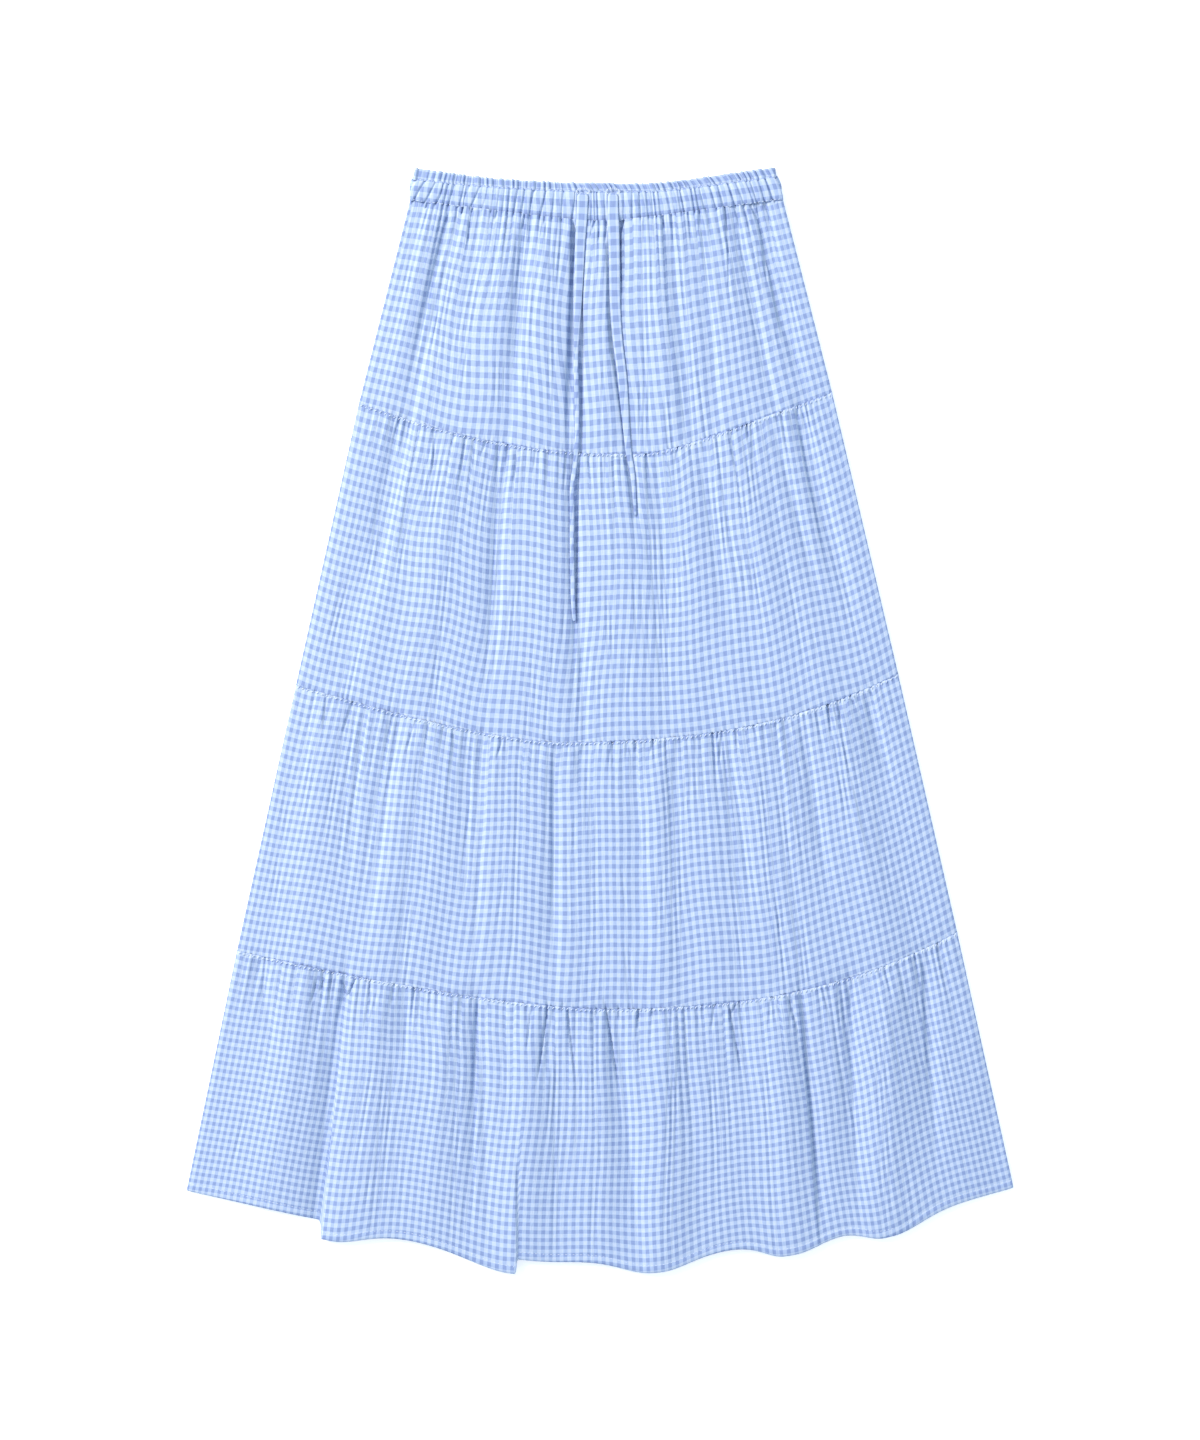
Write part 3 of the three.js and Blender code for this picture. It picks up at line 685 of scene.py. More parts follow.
def under_ties(x, y, z):
    """Presses the cloth down to just under the ties that lie on it."""
    for name, route in TIE_ROUTES.items():
        points = np.array(route)[::-1]
        form = np.array(TIE_FORMS[name])
        share = (points[-1, 1] - y) / (points[-1, 1] - points[0, 1])
        tie_x = np.interp(y, points[:, 1], points[:, 0])
        tie_z = np.interp(y, points[:, 1], points[:, 2])
        half_width = np.interp(share, form[:, 0], form[:, 1])
        beyond = np.maximum(points[0, 1] - y, 0) + np.maximum(y - points[-1, 1], 0)
        off = np.hypot(np.maximum(np.abs(x - tie_x) - half_width, 0), beyond)
        z = np.minimum(z, tie_z - TIE_CLEARANCE + (off / TIE_MARGIN) ** 2)
    return z


# For each tier: the lines above and below it, its columns and rows of checks, how far the rows crowd
# towards the top and fall from left to right, the mesh's columns and rows, the fine gathers, and the
# share of the cloth that is tucked into them
TIERS = {
    1: ("casing_bottom", "seam_1", 60, 19.8, -0.02, 0.3, 560, 72, 66, 0.34),
    2: ("seam_1", "seam_2", 82, 28.7, -0.06, 0.3, 540, 62, 84, 0.26),
    3: ("seam_2", "seam_3", 98, 30.3, -0.02, 1.6, 620, 60, 104, 0.17),
    4: ("seam_3", "hem_front", 117, 31.2, -0.08, 2.7, 680, 62, 128, 0.16),
}
# The hem: its folded band, thicker than the cloth, the groove of its stitching, and its rounded edge
HEM_BAND = 6.5
HEM_STEP = 0.6
HEM_THICKER = 0.35
HEM_GROOVE = 0.35
HEM_GROOVE_REACH = 0.8
HEM_DROP = 0.8
HEM_ROUND = 1.0
ROW_WAVER = 0.2
COLUMN_WAVER = 0.14
PUCKER_PITCH = 3.9
PUCKER_TALL = 0.28
PUCKER_REACH = 3.5
SCALLOP = 0.45
SIDE_CROWD = {1: 0.3, 2: 0.25, 3: 0.25, 4: 0.2}
# Fine and wide gathers under a seam: the ranges of their height and of how far down they reach in mm,
# and how rounded they are
FINE_TALL = (0.6, 2.0)
FINE_REACH = (5, 36)
FINE_ROUND = 0.4
FINE_UNDER_WAIST = 0.85
WIDE_SHARE = 0.42
WIDE_TALL = (0.5, 1.9)
WIDE_REACH = (18, 110)
WIDE_ROUND = 0.5
WAIST_DITCH = (0.2, 1.4)
# How the gathers shift and tilt the rows of checks, in checks, and how far down they do
ROW_SHIFT = 0.13
ROW_TILT = 0.22
ROW_SHIFT_REACH = 70
SWELL = 0.35
SWELL_WAVES = (5, 6, 16)
SWELL_CALM = (30, 20)
NECK_DROP = 1.2
NECK_REACH = 40
# How close the mesh's rows lie: everywhere, and by the upper seam, the lower one and the hem's
# stitching, with how far each of those reaches
ROWS_ANYWHERE = 0.22
ROWS_BY_TOP = 14
ROWS_BY_FOOT = (0.7, 4)
ROWS_BY_HEM = (0.6, 3)


def tier_rows(height, count, has_hem):
    """Shares down a tier, closer together by its seams."""
    samples = np.linspace(0, height, 2000)
    share, reach = ROWS_BY_FOOT
    closeness = ROWS_ANYWHERE + np.exp(-samples / ROWS_BY_TOP) + share * np.exp(-(height - samples) / reach)
    if has_hem:
        share, reach = ROWS_BY_HEM
        closeness += share * np.exp(-((height - samples - HEM_BAND) / reach) ** 2)
    along = np.concatenate([[0], np.cumsum(closeness[1:])])
    return np.interp(np.linspace(0, along[-1], count + 1), along, samples) / height


# The elastic's gathers, strong ones and weak ones, and how each leans. They run on from the casing into
# the top of the first tier.
WAIST_GATHERS = 50
STRONG_SHARE = 0.55
STRONG_TALL = (2.1, 3.3)
WEAK_TALL = (0.7, 1.5)
waist_draw = np.random.default_rng(7)
WAIST_KNOTS = uneven_knots(waist_draw, WAIST_GATHERS, 1.3)
WAIST_TALL = np.where(
    waist_draw.random(WAIST_GATHERS) < STRONG_SHARE,
    waist_draw.uniform(*STRONG_TALL, WAIST_GATHERS), waist_draw.uniform(*WEAK_TALL, WAIST_GATHERS))
WAIST_LEAN = np.linspace(1.5, -0.5, WAIST_GATHERS) + waist_draw.uniform(-0.6, 0.6, WAIST_GATHERS)
LEAN_SPAN = 0.5
waist_numbers = np.arange(WAIST_GATHERS + 1)
foot_lean = np.interp(waist_numbers, waist_numbers[:-1] + 0.5, WAIST_LEAN)
WAIST_FOOT = np.interp(waist_numbers - 0.5 * LEAN_SPAN * foot_lean, waist_numbers, WAIST_KNOTS)


def front_field(tier, u, v):
    """The outer surface of a tier's front at shares u across and v down: its place, and how much
    cloth is tucked away there."""
    upper, lower, _, _, _, _, _, _, gathers, _ = TIERS[tier]
    draw = np.random.default_rng(100 + tier)
    x, y, width, edge, below, above = place_between(upper, lower, u, v)
    rolled = smoothstep(0, EDGE_ROLL, edge)
    pinch = SEAM_PINCH * np.exp(-(np.minimum(below, above) / PINCH_REACH) ** 2)
    fine = uneven_knots(draw, gathers, 1.0)
    fine_height, fine_tuck = gather_ridges(
        u, below, width, fine, draw.uniform(*FINE_TALL, gathers), draw.uniform(*FINE_REACH, gathers),
        FINE_ROUND)
    wide_count = round(gathers * WIDE_SHARE)
    wide = uneven_knots(draw, wide_count, 1.2)
    if tier == 1:
        wide_count = WAIST_GATHERS
        wide = WAIST_FOOT
        fine_height = FINE_UNDER_WAIST * fine_height
    wide_height, wide_tuck = gather_ridges(
        u, below, width, wide, draw.uniform(*WIDE_TALL, wide_count), draw.uniform(*WIDE_REACH, wide_count),
        WIDE_ROUND)
    crease, crease_tuck = crease_height(x, y, u, v, width, draw)
    phase = np.interp(u, wide, np.arange(wide_count + 1))
    which = np.minimum(phase.astype(int), wide_count - 1)
    fade = np.exp(-below / ROW_SHIFT_REACH)
    shear = draw.uniform(-ROW_SHIFT, ROW_SHIFT, wide_count)[which] * fade
    shear = shear + draw.uniform(-ROW_TILT, ROW_TILT, wide_count)[which] * (phase - which - 0.5) * fade
    swell = slow_waves(draw, *SWELL_WAVES)(u, v) * SWELL
    calm = smoothstep(0, SWELL_CALM[0], below) * smoothstep(0, SWELL_CALM[1], above)
    relief = fold_height(x, y) + fine_height + wide_height - NECK_DROP * np.exp(-below / NECK_REACH)
    relief = relief + crease + swell * calm
    lift = EDGE_LIFT * smoothstep(0, EDGE_LIFT_REACH, edge)
    tucked_in = np.exp(-(below / TUCK_REACH) ** 2)
    y = y + TUCK_UNDER * tucked_in
    ditch = TUCK_DITCH * tucked_in
    if tier == 1:
        ditch = (WAIST_DITCH[0] + WAIST_DITCH[1] * wide_tuck) * np.exp(-(below / DITCH_REACH) ** 2)
    pucker = np.zeros_like(x)
    if lower == "hem_front":
        band = 1 - smoothstep(HEM_BAND - HEM_STEP, HEM_BAND + HEM_STEP, above)
        pucker += HEM_THICKER * band
        pucker -= HEM_GROOVE * np.exp(-((above - HEM_BAND) / HEM_GROOVE_REACH) ** 2)
        pucker -= HEM_DROP * np.exp(-(above / HEM_ROUND) ** 2)
    else:
        beat = np.cos(2 * math.pi * u * round(float(np.max(width)) / PUCKER_PITCH))
        pucker += PUCKER_TALL * beat * np.exp(-(above / PUCKER_REACH) ** 1.5)
        y = y - SCALLOP * (beat - 0.4) * np.exp(-above / 2)
        ditch += SEAM_DITCH * np.exp(-(above / DITCH_REACH) ** 2)
    loft = LOFT * (SIDE_LOFT + (1 - SIDE_LOFT) * smoothstep(0, SIDE_REACH, edge))
    relief = relief * (0.5 + 0.5 * smoothstep(0, EDGE_FADE, edge)) - slot_depth(x, y)
    bulge = EDGE_BULGE * edge / (edge + EDGE_BULGE) * np.exp(-edge / BULGE_REACH)
    x = x + lean_over(x, y) + np.where(u < 0.5, -1, 1) * bulge
    z = EDGE_HEIGHT + lift + rolled * (loft + relief + pucker - pinch - ditch)
    z = np.maximum(z, LOWEST_FRONT * rolled + EDGE_HEIGHT * (1 - rolled))
    z = under_ties(x, y, z)
    tuck = fine_tuck + wide_tuck + CREASE_TUCK * crease_tuck
    return x, y, z, tuck, shear


# The columns of checks follow the cloth over its folds. Their mean over a window of a few checks changes
# little from row to row, and a wall steeper than a limit shows no more of them.
COLUMN_WINDOW = 9
COLUMN_CALM = 32
STEEPEST_RUN = 1.3
LEAST_RUN = 0.05
COLUMN_WAVES = (4, 3, 9)
ROW_WAVES = (5, 3, 8)


def near_mean(values, reach):
    """The mean of the values within a number of places on each side along their row."""
    total = np.cumsum(np.pad(values, ((0, 0), (reach + 1, reach)), mode="edge"), axis=1)
    return (total[:, 2 * reach + 1:] - total[:, :-(2 * reach + 1)]) / (2 * reach + 1)


def calm_columns(density, y):
    """Evens out how the cloth's spread over the width changes from row to row."""
    reach = round(COLUMN_WINDOW * density.shape[1] / density.sum(axis=1).mean())
    local = near_mean(density, reach)
    height = y.mean(axis=1)
    apart = height[:, None] - height[None, :]
    weight = np.exp(-(apart / COLUMN_CALM) ** 2) * np.abs(np.gradient(height))
    return density / local * (weight @ local / weight.sum(axis=1, keepdims=True))


def check_places(tier, u, v, x, y, z, tuck, shear):
    """Columns and rows of checks over a tier: the cloth's own length along each row sets the
    columns, with what is tucked away in the gathers, and the seams set the rows."""
    _, _, columns, rows, crowd, slant, _, _, _, hidden = TIERS[tier]
    draw = np.random.default_rng(200 + tier)
    level = np.abs(np.diff(x, axis=1))
    run = np.minimum(np.hypot(level, np.diff(z, axis=1)), STEEPEST_RUN * level + LEAST_RUN)
    middle_tuck = 0.5 * (tuck[:, 1:] + tuck[:, :-1])
    tucked = middle_tuck * np.diff(x, axis=1)
    share = tucked.sum(axis=1, keepdims=True) / run.sum(axis=1, keepdims=True)
    scale = hidden * share / (share.max() * np.maximum(share, 1e-6))
    spread = 1 + SIDE_CROWD[tier] * (2 * u[:, 1:] - 1) ** 2
    along = np.cumsum(calm_columns((run + tucked * scale) * spread, y), axis=1)
    along = np.concatenate([np.zeros((len(x), 1)), along], axis=1)
    across = columns * along / along[:, -1:]
    down = rows * (v + crowd * v * (1 - v)) + slant * (2 * u - 1)
    across = across + COLUMN_WAVER * slow_waves(draw, *COLUMN_WAVES)(u, 3 * v)
    down = down + ROW_WAVER * slow_waves(draw, *ROW_WAVES)(u, v) + shear
    return across, down


def make_front(tier):
    upper, lower, _, _, _, _, divisions, row_count, _, _ = TIERS[tier]
    middle_height = line_point(upper, np.array(0.5))[1] - line_point(lower, np.array(0.5))[1]
    rows = tier_rows(float(middle_height), row_count, lower == "hem_front")
    u, v = np.meshgrid(np.linspace(0, 1, divisions + 1), rows)
    x, y, z, tuck, shear = front_field(tier, u, v)
    across, down = check_places(tier, u, v, x, y, z, tuck, shear)
    mesh = grid_mesh(f"tier_{tier}_front_cloth", x, y, z, across, down)
    piece = add_piece(f"tier_{tier}_front_cloth", mesh, gingham, f"tier_{tier}_front")
    thicken(piece, WALL)
    return piece


def thicken(piece, wall):
    """Gives a sheet of cloth its thickness, on its inner side."""
    shell = piece.modifiers.new("cloth", "SOLIDIFY")
    shell.thickness = wall * MM
    shell.offset = -1


# The front of each tier
fronts = {tier: make_front(tier) for tier in TIERS}


# Back of the four tiers
# The same four strips on the other side of the skirt. They lie flat on the surface, with the
# creases that the weight of the front presses into them, and a plain hem.

BACK_DIVISIONS = {1: (170, 40), 2: (190, 44), 3: (210, 44), 4: (230, 46)}
BACK_GATHERS = {1: 34, 2: 44, 3: 50, 4: 58}
BACK_TALL = (0.3, 0.9)
BACK_REACH = (10, 60)
BACK_ROUND = 0.9
BACK_CREASES = 9
BACK_MIDDLES = (0.05, 0.95)
BACK_DRIFTS = (-0.03, 0.03)
BACK_STARTS = (-0.2, 0.5)
BACK_LENGTHS = (0.4, 0.9)
BACK_DEPTHS = (0.5, 1.2)
BACK_DENT_HALF = 4.5
BACK_RISE = 0.55
BACK_SEAM = (0.25, 3)
BACK_HIGHEST = 1.4


def back_field(tier, u, v):
    upper, lower = TIERS[tier][:2]
    if lower == "hem_front":
        lower = "hem_back"
    draw = np.random.default_rng(300 + tier)
    x, y, width, edge, below, above = place_between(upper, lower, u, v)
    gathers = BACK_GATHERS[tier]
    knots = uneven_knots(draw, gathers, 1.0)
    _, tuck = gather_ridges(
        u, below, width, knots, draw.uniform(*BACK_TALL, gathers), draw.uniform(*BACK_REACH, gathers),
        BACK_ROUND)
    dents = np.zeros_like(x)
    for _ in range(BACK_CREASES):
        middle = draw.uniform(*BACK_MIDDLES)
        drift = draw.uniform(*BACK_DRIFTS)
        start = draw.uniform(*BACK_STARTS)
        length = draw.uniform(*BACK_LENGTHS)
        depth = draw.uniform(*BACK_DEPTHS)
        along = (v - start) / length
        off = (u - middle - drift * along) * width
        dents += depth * dent_shown(along) * np.exp(-(off / BACK_DENT_HALF) ** 2)
    rolled = smoothstep(0, EDGE_ROLL, edge)
    seam = BACK_SEAM[0] * np.exp(-(np.minimum(below, above) / BACK_SEAM[1]) ** 2)
    z = rolled * np.minimum(BACK_RISE * tuck + dents + seam, BACK_HIGHEST)
    return x, y, z, tuck


def make_back(tier):
    columns, row_count = BACK_DIVISIONS[tier]
    u, v = np.meshgrid(np.linspace(0, 1, columns + 1), tier_rows(220, row_count, False))
    x, y, z, tuck = back_field(tier, u, v)
    across, down = check_places(tier, u, v, x, y, z, tuck, 0)
    mesh = grid_mesh(f"tier_{tier}_back_cloth", x, y, z, across, down, facing_up=False)
    piece = add_piece(f"tier_{tier}_back_cloth", mesh, gingham, f"tier_{tier}_back")
    thicken(piece, WALL)
    return piece


backs = {tier: make_back(tier) for tier in TIERS}


# Casing
# A strip of the gingham folded over a flat elastic and stitched along its top and bottom. The
# elastic draws it up into many small upright gathers, which puff out between the stitched lines.

CASING_BASE = 5.0
CASING_DOME = 0.9
CASING_EDGE_DROP = 1.8
CASING_PUFF = 1.4
PUFF_ROUND = 0.6
CASING_WALL = 1.6
CASING_COLUMNS = 58
CASING_ROWS = 2.05
CASING_START = 0.1
CASING_DIVISIONS = (680, 26)
CASING_BACK_DIVISIONS = (260, 14)
CASING_BULGE = 1.2
CASING_BULGE_REACH = 9
# The depth and reach of the ditches of its two lines of stitching, and how far the gathers push those
# lines up and down
CASING_TOP_DITCH = (0.9, 1.4)
CASING_BOTTOM_DITCH = (0.5, 1.6)
CASING_SCALLOP = (0.6, 2)
# How far the gathers stand out at the stitching, and how much further between
GATHER_SHARE = (0.68, 0.17)
BACK_GATHER = 0.6
WAIST_WIDTH = 311
# The share of a gather's height that rounds its top, and how much of a valley's walls its checks take up
VALLEY_DOME = 0.3
HIDDEN_CLOTH = 0.35


def waist_ridges(u, v, roundness):
    """Upright gathers, each leaning its own way, with narrow valleys between: their height."""
    count = WAIST_GATHERS
    phase = np.interp(u, WAIST_KNOTS, np.arange(count + 1))
    lean = np.interp(phase, np.arange(count) + 0.5, WAIST_LEAN)
    phase = np.clip(phase + lean * (v - 0.5) * LEAN_SPAN, 0, count - 1e-6)
    which = phase.astype(int)
    t = phase - which
    away = np.minimum(t, 1 - t) * np.diff(WAIST_KNOTS)[which] * WAIST_WIDTH
    beside = np.clip(which + np.where(t < 0.5, -1, 1), 0, count - 1)
    tall = 0.5 * (WAIST_TALL[which] + WAIST_TALL[beside])
    dome = np.sin(math.pi * t) ** roundness - 1
    return tall * (VALLEY_DOME * dome - (1 - VALLEY_DOME) * np.exp(-(away / VALLEY_HALF) ** 2))


def waist_checks(x, z, v, columns, rows, start):
    run = np.abs(np.diff(x, axis=1)) + HIDDEN_CLOTH * np.abs(np.diff(z, axis=1))
    along = np.concatenate([np.zeros((len(x), 1)), np.cumsum(run, axis=1)], axis=1)
    return columns * along / along[:, -1:], start + rows * v


def casing_place(u, v):
    """The place of a point of the casing, how it puffs out between the stitched lines, how far it is
    in from the rounded ends, and its distance from the two lines."""
    x, y, width, edge, below, above = place_between("casing_top", "casing_bottom", u, v)
    puff = np.sin(math.pi * np.clip(v, 0, 1)) ** PUFF_ROUND
    x = x + np.where(u < 0.5, -1, 1) * CASING_BULGE * puff * np.exp(-edge / CASING_BULGE_REACH)
    return x, y, puff, smoothstep(0, EDGE_ROLL, edge), below, above


def casing_field(u, v):
    x, y, puff, rolled, below, above = casing_place(u, v)
    ridges = waist_ridges(u, v, 0.5)
    at_top = CASING_TOP_DITCH[0] * np.exp(-(below / CASING_TOP_DITCH[1]) ** 2)
    at_bottom = CASING_BOTTOM_DITCH[0] * np.exp(-(above / CASING_BOTTOM_DITCH[1]) ** 2)
    gathers = ridges * (GATHER_SHARE[0] + GATHER_SHARE[1] * puff)
    z = CASING_BASE + CASING_DOME * rolled - (1 - rolled) * CASING_EDGE_DROP
    z = z + rolled * (gathers + CASING_PUFF * puff - at_top - at_bottom)
    push, reach = CASING_SCALLOP
    outwards = np.where(v < 0.5, np.exp(-below / reach), -np.exp(-above / reach))
    y = y + rolled * push * (ridges + 1.0) * outwards
    return x, y, z


def make_casing_front():
    columns, rows = CASING_DIVISIONS
    u, v = np.meshgrid(np.linspace(0, 1, columns + 1), np.linspace(0, 1, rows + 1))
    x, y, z = casing_field(u, v)
    across, down = waist_checks(x, z, v, CASING_COLUMNS, CASING_ROWS, CASING_START)
    z = under_ties(x, y, z)
    mesh = grid_mesh("casing_front_cloth", x, y, z, across, down)
    piece = add_piece("casing_front_cloth", mesh, gingham, "casing_front")
    thicken(piece, CASING_WALL)
    return piece


def make_casing_back():
    columns, rows = CASING_BACK_DIVISIONS
    u, v = np.meshgrid(np.linspace(0, 1, columns + 1), np.linspace(0, 1, rows + 1))
    x, y, puff, rolled, _, _ = casing_place(u, v)
    ridges = waist_ridges(1 - u, v, 0.8)
    z = rolled * np.clip(-BACK_GATHER * ridges * (0.3 + 0.7 * puff), 0, BACK_HIGHEST)
    across, down = waist_checks(x, z, v, CASING_COLUMNS, CASING_ROWS, CASING_START)
    mesh = grid_mesh("casing_back_cloth", x, y, z, across, down, facing_up=False)
    piece = add_piece("casing_back_cloth", mesh, gingham, "casing_back")
    thicken(piece, CASING_WALL)
    return piece


casing_front = make_casing_front()
casing_back = make_casing_back()


# Frill
# The top 9 mm of the same folded strip, left free above the elastic, which waves in narrow slanting
# scallops. Its foot runs on under the edge of the casing.

FRILL_COLUMNS = 58
FRILL_ROWS = 0.9
FRILL_START = 0.55
FRILL_WALL = 0.9
FRILL_GATHERS = 82
FRILL_STRONG = (1.8, 2.6)
FRILL_WEAK = (0.6, 1.2)
FRILL_FOOT = 1.6
FRILL_SCALLOP = 0.45
FRILL_MEAN = 1.4
frill_draw = np.random.default_rng(8)
FRILL_KNOTS = uneven_knots(frill_draw, FRILL_GATHERS, 1.1)
FRILL_TALL = np.where(
    frill_draw.random(FRILL_GATHERS) < 0.5,
    frill_draw.uniform(*FRILL_STRONG, FRILL_GATHERS), frill_draw.uniform(*FRILL_WEAK, FRILL_GATHERS))


def make_frill(side, base, facing_up, divisions):
    """One side of the frill, the outer face of it at a height over the surface."""
    u, v = np.meshgrid(np.linspace(0, 1, divisions + 1), np.linspace(0, 1, 13))
    x, y, width, edge, below, above = place_between("frill_top", "casing_top", u, v)
    free = 1 - v
    phase = np.interp(u if facing_up else 1 - u, FRILL_KNOTS, np.arange(FRILL_GATHERS + 1))
    which = np.minimum(phase.astype(int), FRILL_GATHERS - 1)
    t = phase - which
    ridges = FRILL_TALL[which] * np.sin(math.pi * np.clip(t, 0, 1)) ** 0.5
    inside = smoothstep(0, EDGE_ROLL, edge)
    foot = smoothstep(0.8, 1, v)
    lean = free * inside * (np.sin(u * 21) - 1 - 2.8 * smoothstep(0.25, 0.5, u))
    y = y + free * inside * FRILL_SCALLOP * (ridges - FRILL_MEAN) - FRILL_FOOT * foot
    wave = 0.4 + ridges - 0.5 * foot if facing_up else 1.6 - 0.6 * ridges
    z = base + inside * np.maximum(wave, 0)
    across, down = waist_checks(x, z, v, FRILL_COLUMNS, FRILL_ROWS, FRILL_START)
    mesh = grid_mesh(f"frill_{side}_cloth", x + lean, y, z, across, down, facing_up)
    piece = add_piece(f"frill_{side}_cloth", mesh, gingham, f"frill_{side}")
    thicken(piece, FRILL_WALL)
    return piece


frill_front = make_frill("front", 3.2, True, 620)
frill_back = make_frill("back", 0, False, 260)


# Stitching
# Pale blue thread. It shows in the ditch of each seam, along the top and bottom of the casing and
# along the folded hem.

# Sides and rings of a stitch, how much stitches differ in turn and in length, and the share down a tier
# at which its upper seam is sewn
STITCH_FORM = (6, 4)
STITCH_SWAY = 8
STITCH_LENGTHS = (0.85, 1.15)
SEAM_DOWN = 0.004
TIE_BREAK = 7
THREAD_TONES = [(0.52, 0.62, 0.78, 1), (0.68, 0.75, 0.84, 1)]
THREAD_TWIST = 900
THREAD_ROUGHNESS = 0.7


def make_thread():
    material = bpy.data.materials.new("thread")
    material.use_nodes = True
    tree = material.node_tree
    shader = tree.nodes["Principled BSDF"]
    shader.inputs["Roughness"].default_value = THREAD_ROUGHNESS
    coords = tree.nodes.new("ShaderNodeTexCoord")
    noise = tree.nodes.new("ShaderNodeTexNoise")
    noise.inputs["Scale"].default_value = THREAD_TWIST
    link(tree, coords, "Object", noise, "Vector")
    ramp = tree.nodes.new("ShaderNodeValToRGB")
    for end, tone in zip(ramp.color_ramp.elements, THREAD_TONES):
        end.color = tone
    link(tree, noise, "Fac", ramp, "Fac")
    link(tree, ramp, "Color", shader, "Base Color")
    return material


thread = make_thread()


def add_stitch(shape, place, direction, length, thick):
    turn = Vector((0, 0, 1)).rotation_difference(Vector(direction)).to_matrix().to_4x4()
    size = Matrix.Diagonal((thick / 2 * MM, thick / 2 * MM, length / 2 * MM, 1))
    matrix = Matrix.Translation(Vector(place) * MM) @ turn @ size
    bmesh.ops.create_uvsphere(shape, u_segments=STITCH_FORM[0], v_segments=STITCH_FORM[1], radius=1,
                              matrix=matrix)


def finish_stitches(shape, name):
    mesh = bpy.data.meshes.new(name)
    shape.to_mesh(mesh)
    shape.free()
    mesh.shade_smooth()
    return add_piece(name, mesh, thread, None)


def stitch_line(name, points, turn, length, thick, draw):
    """Stitches along a line of points, each turned from the line's direction."""
    shape = bmesh.new()
    direction = np.gradient(points, axis=0)
    direction /= np.linalg.norm(direction, axis=1)[:, None]
    for point, along in zip(points, direction):
        angle = math.radians(turn + draw.uniform(-STITCH_SWAY, STITCH_SWAY))
        spun = (along[0] * math.cos(angle) - along[1] * math.sin(angle),
                along[0] * math.sin(angle) + along[1] * math.cos(angle), along[2])
        add_stitch(shape, point, spun, length * draw.uniform(*STITCH_LENGTHS), thick)
    return finish_stitches(shape, name)


def even_shares(line, pitch):
    """Shares of a line's width that are a stitch apart."""
    count = round((LINES[line][2] - LINES[line][0]) / pitch)
    return (np.arange(1, count) / count)[None, :]


stitch_draw = np.random.default_rng(11)
for tier in (2, 3, 4):
    shares = even_shares(TIERS[tier][0], PUCKER_PITCH)
    x, y, z, _, _ = front_field(tier, shares, np.full_like(shares, SEAM_DOWN))
    seam_points = np.stack([x[0], y[0] - 0.2, z[0] + 1.0], axis=1)
    stitch_line(f"seam_{tier - 1}_front_stitches", seam_points, 50, 2.7, 0.8, stitch_draw)
    x, y, z, _ = back_field(tier, shares, np.full_like(shares, SEAM_DOWN))
    seam_points = np.stack([x[0], y[0], z[0] + 0.3], axis=1)
    stitch_line(f"seam_{tier - 1}_back_stitches", seam_points, 50, 2.6, 0.6, stitch_draw)

HEM_STITCH = 3.2
shares = even_shares("hem_front", HEM_STITCH)
_, hem_y, wave_dip = line_point("hem_front", shares)
tier_height = line_point("seam_3", shares)[1] - hem_y + WAVE_FADE * wave_dip
x, y, z, _, _ = front_field(4, shares, 1 - HEM_BAND / tier_height)
stitch_line("hem_front_stitches", np.stack([x[0], y[0], z[0] + 0.12], axis=1), 0, 2.1, 0.5, stitch_draw)
tier_height = line_point("seam_3", shares)[1] - line_point("hem_back", shares)[1]
x, y, z, _ = back_field(4, shares, 1 - HEM_BAND / tier_height)
stitch_line("hem_back_stitches", np.stack([x[0], y[0], z[0] + 0.27], axis=1), 0, 2.1, 0.5, stitch_draw)

CASING_STITCH = 3.4
for edge_name, down in (("top", 0.03), ("bottom", 0.96)):
    shares = even_shares("casing_bottom", CASING_STITCH)
    x, y, z = casing_field(shares, np.full_like(shares, down))
    clear = np.full(x.shape[1], True)
    for route in TIE_ROUTES.values():
        clear &= np.abs(x[0] - route[0][0]) > TIE_BREAK
    line_points = np.stack([x[0], y[0], z[0] + 0.15], axis=1)[clear]
    stitch_line(f"casing_{edge_name}_stitches", line_points, 12, 2.2, 0.6, stitch_draw)


# Eyelets
# Two small buttonholes, worked in the same thread through the casing's outer layer, which the
# drawstring comes out of.

EYELET_STITCHES = 20
EYELET_SIZE = (5.4, 2.6)


def make_eyelet(name, route):
    shape = bmesh.new()
    for step in range(EYELET_STITCHES):
        angle = 2 * math.pi * step / EYELET_STITCHES
        out = (math.cos(angle), math.sin(angle), 0.25)
        place = (route[0][0] + EYELET_SIZE[0] * out[0], route[0][1] + EYELET_SIZE[1] * out[1],
                 route[0][2] + (0.1 if out[1] < 0.2 else 0.45) - (1.0 if out[1] < -0.3 else 0))
        add_stitch(shape, place, out, 2.2, 0.8)
    return finish_stitches(shape, name)


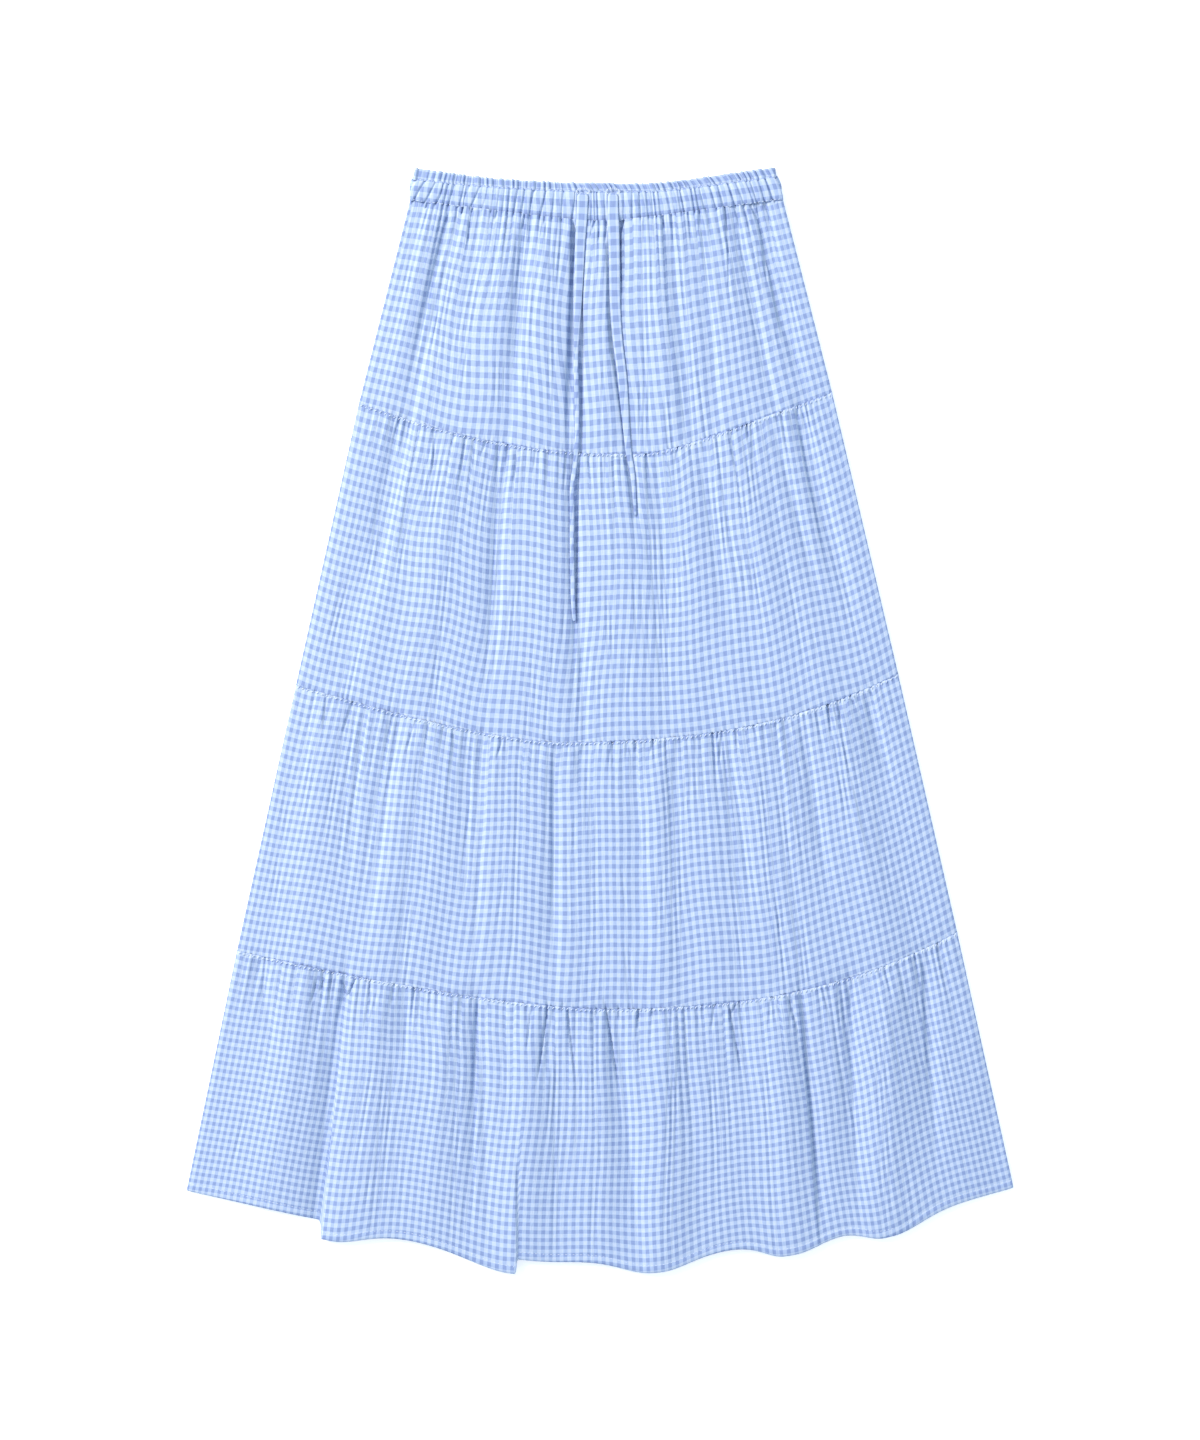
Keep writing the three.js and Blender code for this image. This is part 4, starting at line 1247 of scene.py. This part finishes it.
for tie_name, route in TIE_ROUTES.items():
    make_eyelet(tie_name.replace("tie", "eyelet"), route)


# Surface under the skirt, light and background
# A plain white light table, which leaves hardly a shadow round the skirt, a large soft light from the
# upper left, and an even pale surround. The light's place and the table's half side are in metres.

LIGHT_PLACE = (-2.9, 1.95, 2.7)
LIGHT_SIZE = 2.3
LIGHT_POWER = 238
LIGHT_TINT = (1, 0.897, 0.819)
SURROUND = 0.895
SURROUND_TINT = (0.79, 0.90, 1)
TABLE_GLOW = 0.4

TABLE_HALF = 6
TABLE_DEPTH = 0.4
TABLE_LOOK = {
    "Base Color": (0.97, 0.97, 0.97, 1),
    "Roughness": 0.9,
    "Emission Color": (1, 1, 1, 1),
    "Emission Strength": TABLE_GLOW,
}

floor_shape = bmesh.new()
bmesh.ops.create_grid(floor_shape, x_segments=1, y_segments=1, size=TABLE_HALF)
bmesh.ops.translate(floor_shape, verts=floor_shape.verts, vec=(0, 0, -TABLE_DEPTH * MM))
floor_mesh = bpy.data.meshes.new("table")
floor_shape.to_mesh(floor_mesh)
floor_shape.free()
floor = bpy.data.objects.new("table", floor_mesh)
bpy.context.scene.collection.objects.link(floor)
table_white = bpy.data.materials.new("table_white")
table_white.use_nodes = True
for socket, value in TABLE_LOOK.items():
    table_white.node_tree.nodes["Principled BSDF"].inputs[socket].default_value = value
floor_mesh.materials.append(table_white)

key_data = bpy.data.lights.new("key", "AREA")
key_data.shape = "DISK"
key_data.size = LIGHT_SIZE
key_data.energy = LIGHT_POWER
key_data.color = LIGHT_TINT
key = bpy.data.objects.new("key", key_data)
key.location = LIGHT_PLACE
key.rotation_mode = "QUATERNION"
key.rotation_quaternion = (-Vector(LIGHT_PLACE)).to_track_quat("-Z", "Y")
bpy.context.scene.collection.objects.link(key)

world = bpy.data.worlds.new("surround")
world.use_nodes = True
world.node_tree.nodes["Background"].inputs["Color"].default_value = (*SURROUND_TINT, 1)
world.node_tree.nodes["Background"].inputs["Strength"].default_value = SURROUND
bpy.context.scene.world = world
bpy.context.scene.view_settings.view_transform = "Standard"
